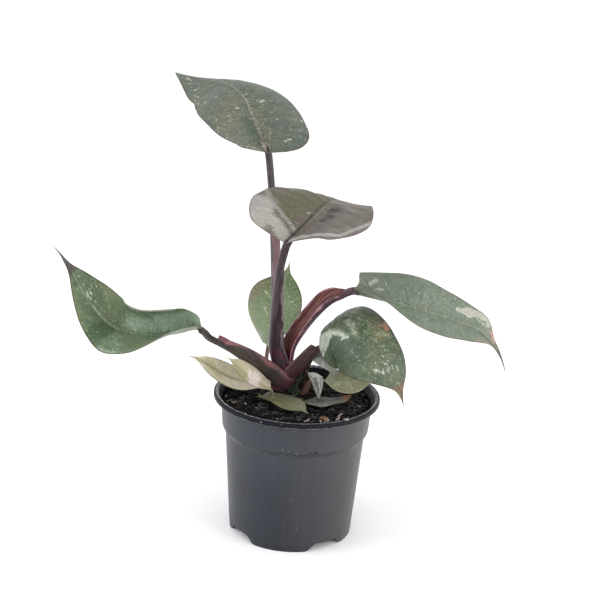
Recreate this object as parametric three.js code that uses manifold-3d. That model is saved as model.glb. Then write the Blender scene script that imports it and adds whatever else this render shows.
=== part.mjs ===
// Pink princess philodendron growing in a 12 cm nursery pot.
// Millimetres, +Z up, the front is -Y. The origin is on the pot's axis, on the surface the pot stands on.
// A leaf is one bent sheet: an outline laid on either side of a midrib that turns, dips and rolls on its way.
import * as THREE from 'three';
import { mergeVertices } from 'three/addons/utils/BufferGeometryUtils.js';
import Module from 'manifold-3d';

const wasm = await Module();
wasm.setup();

const gap = 0.3; // clearance between pieces that touch
const bladeThickness = 0.8;
const ribSteps = 60; // steps that a midrib is walked in
const ribHalfWidth = 6; // how far from the midrib a blade's thickness takes to turn square to its own slope
const rad = THREE.MathUtils.degToRad;

// ---------------------------------------------------------------- driving dimensions

const pot = {
  height: 105, rimRadius: 60, lipHeight: 4.4, wall: 1.2,
  collarTopRadius: 54.5, collarBottomRadius: 53.1, collarBottom: 80,
  bodyTopRadius: 50.6, bodyTop: 76, footRadius: 44.9,
  discRadius: 31, trayInner: 35, trayHeight: 6.4, notchHeight: 5.6,
  feet: 4, footAngle: -9, footFlat: 24, footRamp: 12, // degrees, the first foot's middle and its half widths
  drains: 8, drainRadius: 3.5, segments: 44,
};

const soil = {
  edgeLevel: 97.5, mound: 2.5, moundRadius: 30, lump: 0.65, segments: 34,
  rings: [8, 16, 24, 32, 39, 45, 50],
};

const stem = { x: -8, y: 20, radius: 5.5, bottom: 66, top: 121 };

// half outline, base to tip: distance from the midrib in half widths, distance along it in body lengths
const outline = [
  [0.03, 0], [0.34, -0.88], [0.66, -1], [0.9, 0], [1, 0.16], [0.97, 0.35],
  [0.83, 0.54], [0.6, 0.72], [0.34, 0.86], [0.13, 0.95], [0.045, 0.985], [0, 1],
];

// heading (0 is +X, 90 is +Y), pitch and roll of the midrib in degrees at four even places from base to tip;
// fold lifts each half at the midrib (base, tip), cup bends it further towards its margin; [left, right];
// lobe is how far each basal lobe runs back (or, negative, how far the base is rounded off), in body lengths
const leaves = {
  leaf_top: {
    base: [-30, 36, 272], heading: [127, 122, 141, 151], pitch: [42, 39, 1, 5], roll: [-7, -8, -16, -12],
    fold: [[43, -34], [42, -35]], cup: [-29, -42], length: 122, halfWidth: [40, 36], lobe: [0.03, 0.06],
    tip: 0, rows: 15, columns: 4, color: 0x64705f,
  },
  leaf_upper: {
    base: [-11, -12, 221], heading: [50, 60, 62, 59], pitch: [29, 22, -17, -49], roll: [11, 15, 3, -9],
    fold: [[44, -11], [37, -8]], cup: [-47, -23], length: 103, halfWidth: [42, 45], lobe: [0.08, -0.03],
    tip: 12, rows: 15, columns: 4, color: 0x777568,
  },
  leaf_left: {
    base: [-69, -32, 162], heading: [153, 163, 179, 197], pitch: [-23, -6, 55, 56], roll: [-47, -48, -50, -33],
    fold: [[60, 14], [61, 3]], cup: [-6, 80], length: 141, halfWidth: [35, 37], lobe: [0.06, 0.02],
    tip: 17, rows: 16, columns: 4, color: 0x5d7054,
  },
  leaf_right: {
    base: [36, 10, 181], heading: [-6, 5, 13, 13], pitch: [-11, -15, -27, -75], roll: [12, 43, 53, 51],
    fold: [[28, 18], [43, 3]], cup: [-45, 8], length: 139, halfWidth: [27, 27], lobe: [-0.04, -0.04],
    tip: 22, rows: 16, columns: 4, color: 0x66785f,
  },
  leaf_front: {
    base: [14, 3, 149], heading: [-52, -32, -24, -26], pitch: [40, -15, -43, -72], roll: [43, 33, 24, 17],
    fold: [[-1, 29], [-17, -8]], cup: [-47, -90], length: 95, halfWidth: [34, 34], lobe: [0.04, 0.04],
    tip: 9, rows: 15, columns: 4, color: 0x5c7457,
  },
  leaf_back: {
    base: [-25, 54, 121], heading: [48, 52, 54, 75], pitch: [67, 73, 66, 61], roll: [-15, 3, 25, 43],
    fold: [[-10, 25], [25, -4]], cup: [-22, 4], length: 64, halfWidth: [31, 27], lobe: [0, 0.01],
    tip: 4, rows: 12, columns: 3, color: 0x6f9163,
  },
};

// young leaves at the foot of the plant; stalk runs from the soil to just short of the blade
const youngLeaves = {
  young_leaf_cream: {
    base: [-30, 18, 104], heading: [196, 190, 184, 182], pitch: [8, 22, 34, 6], roll: [-30, -42, -52, -45],
    fold: [[26, 2], [-8, 12]], cup: [16, -20], length: 57, halfWidth: [13, 12], lobe: [-0.03, -0.03],
    tip: 6, rows: 9, columns: 2, color: 0xc9c6a4, stalk: [[-24, 26, 84], [-25, 25, 97], [-28, 21, 102]],
  },
  young_leaf_pale: {
    base: [-22, 12, 105], heading: [184, 188, 194, 200], pitch: [22, 36, 44, 30], roll: [-24, -38, -46, -50],
    fold: [[29, 0], [-13, 12]], cup: [20, -12], length: 41, halfWidth: [12, 11], lobe: [0, 0],
    tip: 4, rows: 9, columns: 2, color: 0xc3bda2, stalk: [[-21, 19, 84], [-22, 18, 97], [-22, 14, 102]],
  },
  young_leaf_olive: {
    base: [-25, 0, 102], heading: [-20, -49, -55, -73], pitch: [2, 4, 6, 10], roll: [-8, -6, 10, -5],
    fold: [[4, 19], [2, 2]], cup: [0, 18], length: 54, halfWidth: [12, 12], lobe: [0, 0],
    tip: 7, rows: 9, columns: 2, color: 0x84865f, stalk: [[-21, 8, 84], [-24, 6, 97], [-27, 3, 101]],
  },
  young_leaf_flat: {
    base: [7, -6, 101], heading: [-4, 14, 10, 17], pitch: [0, 4, 8, 40], roll: [0, 9, 0, 20],
    fold: [[0, 10], [19, 0]], cup: [-12, 8], length: 36, halfWidth: [9, 10], lobe: [0, -0.03],
    tip: 0, rows: 9, columns: 2, color: 0x7c8168, stalk: [[-3, -3, 84], [-2, -5, 98], [2, -6, 101]],
  },
  young_leaf_folded: {
    base: [6, 3, 122], heading: [-30, -30, -25, -20], pitch: [-35, -60, -75, -80], roll: [10, 5, 0, 0],
    fold: [[35, 40], [35, 40]], cup: [0, 0], length: 23, halfWidth: [9, 9], lobe: [-0.12, -0.12],
    tip: 3, rows: 8, columns: 2, color: 0xc5c7bf, stalk: [[10, 16, 84], [11, 15, 100], [9, 11, 113], [6, 6, 121]],
  },
  young_leaf_under: {
    base: [20, 5, 114], heading: [-17, -10, 1, 15], pitch: [-8, 6, 8, -16], roll: [13, 35, 48, 50],
    fold: [[-5, 5], [28, -4]], cup: [0, 20], length: 36, halfWidth: [13, 14], lobe: [0, 0],
    tip: 2, rows: 9, columns: 2, color: 0x97986c, stalk: [[14, 16, 84], [14, 15, 100], [16, 10, 110]],
  },
  young_leaf_grey: {
    base: [13, 12, 131], heading: [-20, -20, -20, -20], pitch: [-10, -40, -60, -70], roll: [40, 40, 30, 20],
    fold: [[20, 20], [20, 20]], cup: [0, 0], length: 22, halfWidth: [9, 9], lobe: [0, 0],
    tip: 2, rows: 8, columns: 2, color: 0xb4b7aa, stalk: [[4, 22, 84], [4, 20, 102], [6, 16, 116], [10, 13, 127]],
  },
  young_leaf_dark: {
    base: [-2, 2, 103], heading: [60, 55, 50, 50], pitch: [62, 60, 60, 60], roll: [-35, -35, -30, -30],
    fold: [[20, 20], [20, 20]], cup: [0, 0], length: 17, halfWidth: [5, 5], lobe: [0, 0],
    tip: 2, rows: 7, columns: 2, color: 0x3c5741, stalk: [[-5, 0, 84], [-5, 0, 96], [-4, 1, 100]],
  },
};
const youngStalk = { radius: 1.1, sides: 6, steps: 6 };

// a leaf stalk is a round core that carries two wings, the sheath, up to where they end;
// spread is half the angle round which the wings reach, faces is the way the open side looks at base and top;
// one without a leaf is a bare sheath
const petioles = {
  petiole_back: {
    leaf: 'leaf_back', path: [[-20, 38, 84], [-22, 41, 99], [-23, 47, 111]], stalk: 1.5,
    sheath: { base: 2.2, top: 2, spread: 90, edge: 0.8, end: 0.3 }, faces: [[0, -1, 0], [0, -1, 0.3]],
    color: 0x8d6a66,
  },
  petiole_top: {
    leaf: 'leaf_top', path: [[-10, 26, 112], [-15, 27, 126], [-18, 28, 166], [-21, 31, 209], [-26, 34, 245]],
    stalk: 2, sheath: { base: 4.6, top: 3.2, spread: 80, edge: 0.9, end: 0.72 },
    faces: [[0.9, -0.3, 0], [0.9, -0.2, 0.2]], color: 0x4a3138,
  },
  petiole_upper: {
    leaf: 'leaf_upper', path: [[-11, 16, 108], [-18, 15, 131], [-19, 9, 152], [-18, 2, 173], [-15, -6, 198]],
    stalk: 2.6, sheath: { base: 6.4, top: 3.4, spread: 95, edge: 1, end: 0.8 },
    faces: [[0.5, 0.8, 0], [0.8, 0.5, 0]], color: 0x3f2a33,
  },
  petiole_right: {
    leaf: 'leaf_right', path: [[-8, 22, 112], [-8, 21, 134], [-1, 19, 149], [8, 17, 162], [18, 15, 171]],
    stalk: 2.1, sheath: { base: 6.6, top: 7, spread: 70, edge: 1, end: 0.78 },
    faces: [[-0.3, -0.9, 0.3], [-0.4, -0.7, 0.6]], color: 0x7a3f3f,
  },
  petiole_left: {
    leaf: 'leaf_left', path: [[-9, 16, 98], [-19, 10, 113], [-31, 0, 127], [-42, -8, 136], [-52, -16, 144]],
    stalk: 2.3, sheath: { base: 9, top: 4, spread: 85, edge: 1, end: 0.72 },
    faces: [[-0.2, 0.6, 1], [0.2, 0.3, 1]], color: 0x4a3b3a,
  },
  petiole_front: {
    leaf: 'leaf_front', path: [[-10, 15, 97], [-5, 12, 110], [2, 9, 122], [9, 6, 134]],
    stalk: 2.2, sheath: { base: 8.5, top: 4.2, spread: 85, edge: 1, end: 0.76 },
    faces: [[-0.3, 0.8, 0.6], [-0.6, 0.2, 0.6]], color: 0x47302f,
  },
  sheath_base: {
    leaf: null, path: [[0, 12, 84], [1, 10, 97], [5, 9, 107], [9, 9, 115]], stalk: 0.6,
    sheath: { base: 4.2, top: 1.8, spread: 80, edge: 0.8, end: 1 }, faces: [[-0.3, 1, 0], [-0.3, 1, 0.3]],
    color: 0x8f5e4e,
  },
};

// ---------------------------------------------------------------- curves and meshes

// Catmull-Rom through evenly spaced values, t from 0 at the first to 1 at the last
function through(values, t) {
  const last = values.length - 1;
  const place = THREE.MathUtils.clamp(t, 0, 1) * last;
  const i = Math.min(Math.floor(place), last - 1);
  const w = place - i;
  const before = values[Math.max(i - 1, 0)];
  const after = values[Math.min(i + 2, last)];
  const slopeA = (values[i + 1] - before) / 2;
  const slopeB = (after - values[i]) / 2;
  const rise = values[i + 1] - values[i];
  return (slopeA + slopeB - 2 * rise) * w ** 3 + (3 * rise - 2 * slopeA - slopeB) * w ** 2 + slopeA * w + values[i];
}

const smoothPath = (points) => new THREE.CatmullRomCurve3(
  points.map((p) => (p.isVector3 ? p : new THREE.Vector3(...p))), false, 'catmullrom', 0.5);

function indexedGeometry(points, index) {
  const geometry = new THREE.BufferGeometry();
  geometry.setAttribute('position', new THREE.Float32BufferAttribute(points.flatMap((p) => p.toArray()), 3));
  geometry.setIndex(index);
  return geometry;
}

function toSolid(geometry) {
  const bare = geometry.clone();
  for (const name of Object.keys(bare.attributes)) if (name !== 'position') bare.deleteAttribute(name);
  const merged = mergeVertices(bare, 1e-4);
  const index = Array.from(merged.index.array);
  const triVerts = [];
  for (let k = 0; k < index.length; k += 3) {
    const [a, b, c] = index.slice(k, k + 3);
    if (a !== b && b !== c && c !== a) triVerts.push(a, b, c);
  }
  return new wasm.Manifold(new wasm.Mesh({
    numProp: 3, vertProperties: new Float32Array(merged.attributes.position.array),
    triVerts: new Uint32Array(triVerts),
  }));
}

function toGeometry(solid) {
  const mesh = solid.getMesh();
  const geometry = new THREE.BufferGeometry();
  geometry.setAttribute('position', new THREE.BufferAttribute(mesh.vertProperties.slice(), 3));
  geometry.setIndex(new THREE.BufferAttribute(mesh.triVerts.slice(), 1));
  return geometry;
}

// what is left of a cut piece that still holds together: its largest body
const largest = (solid) => solid.decompose().reduce((a, b) => (a.volume() > b.volume() ? a : b));

// ---------------------------------------------------------------- leaves

// half outline of one side: point at u (0 base, 1 tip) as [distance from the midrib, distance along it]
function halfOutline(leaf, side, u, grow) {
  const lobe = leaf.lobe[side];
  const halfWidth = leaf.halfWidth[side];
  const body = leaf.length - leaf.tip;
  const shape = outline.map(([x, y]) => [x, y < 0 ? y * lobe : y]);
  if (lobe < 0) {
    [0.15, 0.5, 1].forEach((part, k) => { shape[k + 1][1] = -part * lobe; });
    shape[4][1] -= 0.6 * lobe;
  }
  const x = through(shape.map((p) => p[0]), u) * halfWidth;
  const y = through(shape.map((p) => p[1]), u) * body + leaf.tip * Math.max(0, (u - 0.8) / 0.2) ** 2;
  const scale = 1 + grow / halfWidth;
  return [x * scale, (y - 0.4 * leaf.length) * scale + 0.4 * leaf.length];
}

function midribFrames(leaf) {
  const direction = (t) => {
    const heading = rad(through(leaf.heading, t));
    const pitch = rad(through(leaf.pitch, t));
    return new THREE.Vector3(Math.cos(pitch) * Math.cos(heading), Math.cos(pitch) * Math.sin(heading), Math.sin(pitch));
  };
  const point = new THREE.Vector3(...leaf.base);
  return Array.from({ length: ribSteps + 1 }, (_, i) => {
    const t = i / ribSteps;
    if (i > 0) point.addScaledVector(direction(t - 0.5 / ribSteps), leaf.length / ribSteps);
    const along = direction(t);
    const heading = rad(through(leaf.heading, t));
    const roll = rad(through(leaf.roll, t));
    const level = new THREE.Vector3(-Math.sin(heading), Math.cos(heading), 0);
    const rise = new THREE.Vector3().crossVectors(along, level);
    return {
      point: point.clone(), along,
      across: level.clone().multiplyScalar(Math.cos(roll)).addScaledVector(rise, Math.sin(roll)),
      up: level.clone().multiplyScalar(-Math.sin(roll)).addScaledVector(rise, Math.cos(roll)),
    };
  });
}

function frameAt(frames, leaf, y) {
  const place = THREE.MathUtils.clamp(y / leaf.length, 0, 1) * ribSteps;
  const i = Math.min(Math.floor(place), ribSteps - 1);
  const mix = (key) => frames[i][key].clone().lerp(frames[i + 1][key], place - i);
  const frame = { point: mix('point'), across: mix('across'), up: mix('up') };
  if (y < 0) frame.point.addScaledVector(frames[0].along, y);
  return frame;
}

// point on the upper face, and the way down through the blade, at u along the margin and s out to it;
// a half blade leaves the midrib at its fold angle and bends evenly by its cup angle per half width
function bladePoint(leaf, frames, side, u, s, grow) {
  const [reach, marginY] = halfOutline(leaf, side, u, grow);
  const ribY = u ** 1.35 * leaf.length;
  const y = ribY + (marginY - ribY) * s ** 1.25;
  const x = reach * s;
  const sign = side === 0 ? 1 : -1;
  const t = THREE.MathUtils.clamp(y / leaf.length, 0, 1);
  const fold = rad(leaf.fold[side][0] * (1 - t) + leaf.fold[side][1] * t);
  const bend = (rad(leaf.cup[side]) || 1e-6) / leaf.halfWidth[side];
  const out = (Math.sin(fold + bend * x) - Math.sin(fold)) / bend;
  const lift = (Math.cos(fold) - Math.cos(fold + bend * x)) / bend;
  const frame = frameAt(frames, leaf, y);
  const tilt = (fold + bend * x) * Math.min(1, x / ribHalfWidth);
  return {
    top: frame.point.clone().addScaledVector(frame.across, sign * out).addScaledVector(frame.up, lift),
    down: frame.up.clone().multiplyScalar(-Math.cos(tilt)).addScaledVector(frame.across, sign * Math.sin(tilt)),
  };
}

// two like grids, one a blade's thickness under the other, joined by a strip round the margin
function bladeSolid(leaf, grow = 0) {
  const frames = midribFrames(leaf);
  const wide = 2 * leaf.columns + 1;
  const upper = [];
  const lower = [];
  for (let row = 0; row <= leaf.rows; row += 1) {
    const u = Math.min(row / leaf.rows, 0.995);
    for (let column = -leaf.columns; column <= leaf.columns; column += 1) {
      const side = column < 0 ? 0 : 1;
      const { top, down } = bladePoint(leaf, frames, side, u, Math.abs(column) / leaf.columns, grow);
      upper.push(top.clone().addScaledVector(down, -grow));
      lower.push(top.clone().addScaledVector(down, bladeThickness + grow));
    }
  }
  const index = [];
  const under = upper.length;
  for (let row = 0; row < leaf.rows; row += 1) {
    for (let column = 0; column < wide - 1; column += 1) {
      const a = row * wide + column;
      const [b, c, d] = [a + 1, a + wide + 1, a + wide];
      index.push(a, b, c, a, c, d, under + a, under + c, under + b, under + a, under + d, under + c);
    }
  }
  const border = [];
  for (let column = 0; column < wide; column += 1) border.push(column);
  for (let row = 1; row <= leaf.rows; row += 1) border.push(row * wide + wide - 1);
  for (let column = wide - 2; column >= 0; column -= 1) border.push(leaf.rows * wide + column);
  for (let row = leaf.rows - 1; row > 0; row -= 1) border.push(row * wide);
  border.forEach((a, k) => {
    const b = border[(k + 1) % border.length];
    index.push(a, under + b, b, a, under + a, under + b);
  });
  return toSolid(indexedGeometry([...upper, ...lower], index));
}

// ---------------------------------------------------------------- stalks

// rings of points carried along a path and closed at both ends
function sweep(path, stations, section, facing) {
  const points = [];
  const index = [];
  let sides = 0;
  for (const t of stations) {
    const centre = path.getPoint(t);
    const along = path.getTangent(t);
    const open = facing(t);
    const up = open.addScaledVector(along, -open.dot(along)).normalize();
    const across = new THREE.Vector3().crossVectors(along, up);
    const ring = section(t);
    sides = ring.length;
    for (const [x, y] of ring) points.push(centre.clone().addScaledVector(across, x).addScaledVector(up, y));
  }
  const rings = stations.length;
  for (let ring = 0; ring < rings - 1; ring += 1) {
    for (let k = 0; k < sides; k += 1) {
      const a = ring * sides + k;
      const b = ring * sides + ((k + 1) % sides);
      index.push(a, b + sides, b, a, a + sides, b + sides);
    }
  }
  const contour = section(stations[0]).map(([x, y]) => new THREE.Vector2(x, y));
  for (const [a, b, c] of THREE.ShapeUtils.triangulateShape(contour, [])) {
    index.push(a, b, c);
    index.push((rings - 1) * sides + a, (rings - 1) * sides + c, (rings - 1) * sides + b);
  }
  return toSolid(indexedGeometry(points, index));
}

// the stalk comes up under the blade's base and ends a little way along the midrib
function underBlade(leaf, radius) {
  const [first] = midribFrames(leaf);
  const at = (along, depth) => first.point.clone().addScaledVector(first.along, along).addScaledVector(first.up, -depth);
  return [at(0, bladeThickness + radius), at(5, bladeThickness + radius * 0.5)];
}

function petioleSolid(petiole, grow = 0) {
  const { sheath, stalk } = petiole;
  const end = petiole.leaf ? underBlade(leaves[petiole.leaf], stalk) : [];
  const path = smoothPath([...petiole.path, ...end]);
  const core = 2 * stalk; // thickness at the keel
  // outer arc from wing to wing, then back along the inside
  const section = (t) => {
    const winged = t <= sheath.end;
    const k = t / sheath.end;
    const radius = (winged ? sheath.base * (1 - k) + sheath.top * k : stalk) + grow;
    const spread = rad(winged ? sheath.spread : 100) + grow / radius;
    const edge = (winged ? sheath.edge : 0.5 * stalk) + 2 * grow;
    const depth = radius * (1 - Math.cos(spread));
    const slope = 1 + (edge - core - 2 * grow) / depth;
    const outer = (s) => [radius * Math.sin(spread * s), radius * (1 - Math.cos(spread * s)) - core / 2 - grow];
    const inner = (s) => [radius * Math.sin(spread * s), radius * (1 - Math.cos(spread * s)) * slope + core / 2 + grow];
    return [...[-1, -0.6, -0.2, 0.2, 0.6, 1].map(outer), ...[0.96, 0.4, -0.4, -0.96].map(inner)];
  };
  const steps = 12;
  const stations = Array.from({ length: steps + 1 }, (_, i) => i / steps)
    .filter((t) => Math.abs(t - sheath.end) > 0.02);
  stations.push(sheath.end);
  if (sheath.end < 1) stations.push(sheath.end + 0.012); // the wings end in a step
  stations.sort((a, b) => a - b);
  const [first, last] = petiole.faces.map((v) => new THREE.Vector3(...v));
  return sweep(path, stations, section, (t) => first.clone().lerp(last, t));
}

function youngStalkSolid(leaf, grow = 0) {
  const radius = youngStalk.radius + grow;
  const path = smoothPath([...leaf.stalk, ...underBlade(leaf, youngStalk.radius)]);
  const ring = Array.from({ length: youngStalk.sides }, (_, k) => {
    const angle = (2 * Math.PI * k) / youngStalk.sides;
    return [radius * Math.cos(angle), radius * Math.sin(angle)];
  });
  const stations = Array.from({ length: youngStalk.steps + 1 }, (_, i) => i / youngStalk.steps);
  return sweep(path, stations, () => ring, () => new THREE.Vector3(0.3, 1, 0.2));
}

// ---------------------------------------------------------------- pot, soil and stem

const lathe = (profile, segments) => new THREE.LatheGeometry(
  profile.map(([r, z]) => new THREE.Vector2(r, z)), segments).rotateX(Math.PI / 2);

// how high the pot's lower edge stands at an angle: 0 under a foot, notchHeight between two feet
function edgeHeight(angle) {
  const pitch = 360 / pot.feet;
  const off = Math.abs(((THREE.MathUtils.radToDeg(angle) - pot.footAngle + 1.5 * pitch) % pitch) - pitch / 2);
  return pot.notchHeight * THREE.MathUtils.smoothstep(off, pot.footFlat, pot.footFlat + pot.footRamp);
}

function potGeometry() {
  const { wall, height, rimRadius, lipHeight } = pot;
  const innerFoot = pot.footRadius - wall;
  const trayTop = pot.trayHeight + wall;
  const profile = [
    [0, 0], [pot.discRadius, 0], [pot.trayInner, pot.trayHeight], [innerFoot, pot.trayHeight], [innerFoot, 0],
    [pot.footRadius, 0], [pot.bodyTopRadius, pot.bodyTop], [pot.collarBottomRadius, pot.collarBottom],
    [pot.collarTopRadius, height - lipHeight], [pot.collarTopRadius + 0.6, height - wall],
    [rimRadius - wall, height - wall - 0.4], [rimRadius - wall, height - lipHeight],
    [rimRadius, height - lipHeight], [rimRadius, height - 1.3], [rimRadius - 1.3, height],
    [pot.collarTopRadius + 0.4, height], [pot.collarTopRadius - wall, height - 2],
    [pot.collarBottomRadius - wall, pot.collarBottom + 1], [pot.bodyTopRadius - wall, pot.bodyTop + 1],
    [pot.footRadius - wall + 0.6, trayTop], [pot.trayInner - 1, trayTop], [pot.discRadius - 1, wall], [0, wall],
  ];
  const geometry = lathe(profile, pot.segments);
  const position = geometry.attributes.position;
  for (let i = 0; i < position.count; i += 1) {
    const [x, y, z] = [position.getX(i), position.getY(i), position.getZ(i)];
    if (z < 0.01 && Math.hypot(x, y) > innerFoot - 0.1) position.setZ(i, edgeHeight(Math.atan2(x, -y)));
  }
  let solid = toSolid(geometry);
  for (let k = 0; k < pot.drains; k += 1) {
    const angle = ((k + 0.5) * 2 * Math.PI) / pot.drains;
    const radius = (pot.trayInner + innerFoot) / 2;
    const hole = new THREE.CylinderGeometry(pot.drainRadius, pot.drainRadius, 8, 12).rotateX(Math.PI / 2);
    hole.translate(radius * Math.cos(angle), radius * Math.sin(angle), trayTop);
    solid = solid.subtract(toSolid(hole));
  }
  return toGeometry(solid);
}

// level of the soil: a low mound, higher round the stem, with lumps
function soilLevel(x, y) {
  const mound = soil.mound * Math.exp(-(((x - stem.x) ** 2 + (y - stem.y) ** 2) / soil.moundRadius ** 2));
  const lumps = Math.sin(x / 5.1 + 1.3) * Math.sin(y / 4.3 + 0.4) + 0.6 * Math.sin(x / 2.7 - y / 3.4);
  return soil.edgeLevel + mound + soil.lump * lumps;
}

function soilSolid() {
  const { wall } = pot;
  const inner = wall + gap;
  const slope = (pot.collarTopRadius - pot.collarBottomRadius) / (pot.height - pot.lipHeight - pot.collarBottom);
  const edge = pot.collarBottomRadius - inner + slope * (soil.edgeLevel - pot.collarBottom - 1) - 0.1;
  const trayTop = pot.trayHeight + wall + gap;
  const profile = [
    [0, wall + gap], [pot.discRadius - 1.3, wall + gap], [pot.trayInner - 1.3, trayTop],
    [pot.footRadius - inner + 0.4, trayTop], [pot.bodyTopRadius - inner, pot.bodyTop + 1.3],
    [pot.collarBottomRadius - inner, pot.collarBottom + 1.3], [edge, soil.edgeLevel],
    ...[...soil.rings].reverse().map((r) => [r, soil.edgeLevel + 1]), [0, soil.edgeLevel + 1],
  ];
  const geometry = lathe(profile, soil.segments);
  const position = geometry.attributes.position;
  for (let i = 0; i < position.count; i += 1) {
    if (position.getZ(i) > soil.edgeLevel + 0.5) position.setZ(i, soilLevel(position.getX(i), position.getY(i)));
  }
  return toSolid(geometry);
}

function stemSolid(grow = 0) {
  const { radius, bottom, top } = stem;
  const r = radius + grow;
  const profile = [
    [0, bottom - grow], [r * 0.6, bottom - grow], [r, bottom + 4], [r, top - 18], [r * 0.9, top - 17],
    [r * 0.85, top - 8], [r * 0.7, top - 7], [r * 0.5, top - 1 + grow], [0, top + grow],
  ];
  return toSolid(lathe(profile, 14).translate(stem.x, stem.y, 0));
}

// ---------------------------------------------------------------- assembly

const group = new THREE.Group();

function addPiece(name, geometry, color, roughness) {
  const mesh = new THREE.Mesh(geometry, new THREE.MeshStandardMaterial({ color, roughness, metalness: 0 }));
  mesh.name = name;
  group.add(mesh);
}

addPiece('pot', potGeometry(), 0x45464c, 0.45);

const rooted = [stemSolid(gap)]; // grown by the clearance: what later pieces and the soil keep clear of
addPiece('stem', toGeometry(stemSolid()), 0x5a2a35, 0.5);

for (const [name, petiole] of Object.entries(petioles)) {
  let solid = petioleSolid(petiole);
  if (petiole.leaf) solid = solid.subtract(bladeSolid(leaves[petiole.leaf], gap));
  for (const other of rooted) solid = solid.subtract(other);
  addPiece(name, toGeometry(largest(solid)), petiole.color, 0.45);
  rooted.push(petioleSolid(petiole, gap));
}

for (const [name, leaf] of Object.entries(leaves)) addPiece(name, toGeometry(bladeSolid(leaf)), leaf.color, 0.4);

for (const [name, leaf] of Object.entries(youngLeaves)) {
  let solid = bladeSolid(leaf).add(youngStalkSolid(leaf));
  for (const other of rooted) solid = solid.subtract(other);
  addPiece(name, toGeometry(largest(solid)), leaf.color, 0.5);
}

let bed = soilSolid();
for (const other of rooted) bed = bed.subtract(other);
for (const leaf of Object.values(youngLeaves)) bed = bed.subtract(youngStalkSolid(leaf, gap));
addPiece('soil', toGeometry(largest(bed)), 0x1d1512, 0.95);

export default group;
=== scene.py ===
import math

import bpy
import numpy as np
from mathutils import Matrix, Vector


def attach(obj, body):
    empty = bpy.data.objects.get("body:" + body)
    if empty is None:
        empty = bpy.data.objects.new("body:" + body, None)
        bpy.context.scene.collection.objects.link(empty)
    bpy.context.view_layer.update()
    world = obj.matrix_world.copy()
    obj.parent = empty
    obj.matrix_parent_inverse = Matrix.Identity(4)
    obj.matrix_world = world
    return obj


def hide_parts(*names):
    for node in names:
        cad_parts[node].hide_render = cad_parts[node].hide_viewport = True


# A pink princess philodendron in its nursery pot. Sizes are in mm, and metres once they are in a mesh.
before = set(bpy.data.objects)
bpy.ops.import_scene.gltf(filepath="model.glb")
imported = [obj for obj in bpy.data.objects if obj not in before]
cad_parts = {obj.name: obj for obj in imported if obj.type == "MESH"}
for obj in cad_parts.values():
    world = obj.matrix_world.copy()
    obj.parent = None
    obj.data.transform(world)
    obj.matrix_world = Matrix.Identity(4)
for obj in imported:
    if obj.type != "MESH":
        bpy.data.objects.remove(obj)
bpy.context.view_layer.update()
scene = bpy.context.scene
toMetres = 0.001
circle = 2 * math.pi
draw = np.random.default_rng(11)
print("frame loaded")


def linearColor(hexText):
    # sRGB hex to the linear values that a shader takes
    parts = [int(hexText[k:k + 2], 16) / 255 for k in (1, 3, 5)]
    return [p / 12.92 if p <= 0.04045 else ((p + 0.055) / 1.055) ** 2.4 for p in parts] + [1.0]


def fullLook(defaults, given):
    # a look: what is given over the defaults, its hex colours turned linear
    look = {**defaults, **given}
    return {key: linearColor(value) if isinstance(value, str) else value for key, value in look.items()}


def smooth(x, low, high):
    # 0 below low, 1 above high, with an even S between them
    k = np.clip((x - low) / (high - low), 0, 1)
    return k * k * (3 - 2 * k)


def through(values, t, straight=False):
    # Catmull-Rom curve through evenly spaced values at t from 0 to 1; the ends may run on straight
    v = np.asarray(values, float)
    last = len(v) - 1
    place = np.clip(np.asarray(t, float), 0, 1) * last
    i = np.minimum(place.astype(int), last - 1)
    w = (place - i).reshape(place.shape + (1,) * (v.ndim - 1))
    before = np.concatenate([[2 * v[0] - v[1] if straight else v[0]], v])[i]
    after = np.concatenate([v, [2 * v[-1] - v[-2] if straight else v[-1]]])[i + 2]
    a, b = v[i], v[i + 1]
    slopeA, slopeB = (b - before) / 2, (after - a) / 2
    cubic, square = 2 * (a - b) + slopeA + slopeB, 3 * (b - a) - 2 * slopeA - slopeB
    return cubic * w ** 3 + square * w ** 2 + slopeA * w + a


latticeSize = 64
lattice = draw.random((latticeSize, latticeSize))


def cloud(x, y):
    # value noise from 0 to 1: the lattice's corner values blended by an even S across each cell
    x, y = np.broadcast_arrays(np.asarray(x, float), np.asarray(y, float))
    i, j = np.floor(x).astype(int), np.floor(y).astype(int)
    a, b = smooth(x - i, 0, 1), smooth(y - j, 0, 1)
    i, j, nextI, nextJ = (k % latticeSize for k in (i, j, i + 1, j + 1))
    near = lattice[i, j] * (1 - a) + lattice[nextI, j] * a
    far = lattice[i, nextJ] * (1 - a) + lattice[nextI, nextJ] * a
    return near * (1 - b) + far * b


def unit(vectors):
    # each vector divided by its length
    return vectors / np.linalg.norm(vectors, axis=-1, keepdims=True)


def spun(points, angle, a=0, b=1):
    # points turned by an angle in the plane of two of their coordinates
    turned = np.array(points, float)
    turned[..., a] = points[..., a] * np.cos(angle) - points[..., b] * np.sin(angle)
    turned[..., b] = points[..., a] * np.sin(angle) + points[..., b] * np.cos(angle)
    return turned


def gridFaces(rows, columns, ring=False):
    # quads of a grid whose points are numbered row by row; ring joins each row's end to its start
    i = np.arange(rows - 1)[:, None] * columns
    j = np.arange(columns if ring else columns - 1)
    a, b = i + j, i + (j + 1) % columns
    return np.stack([a, b, b + columns, a + columns], -1).reshape(-1, 4)


def sheetFaces(rows, columns):
    # an upper grid, a like grid under it and a strip round the margin between them
    top = gridFaces(rows, columns)
    under = rows * columns
    grid = np.arange(under).reshape(rows, columns)
    border = np.concatenate([grid[0], grid[1:, -1], grid[-1, -2::-1], grid[-2:0:-1, 0]])
    follow = np.roll(border, -1)
    rim = np.stack([border, border + under, follow + under, follow], -1)
    return np.concatenate([top, top[:, ::-1] + under, rim])


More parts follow.
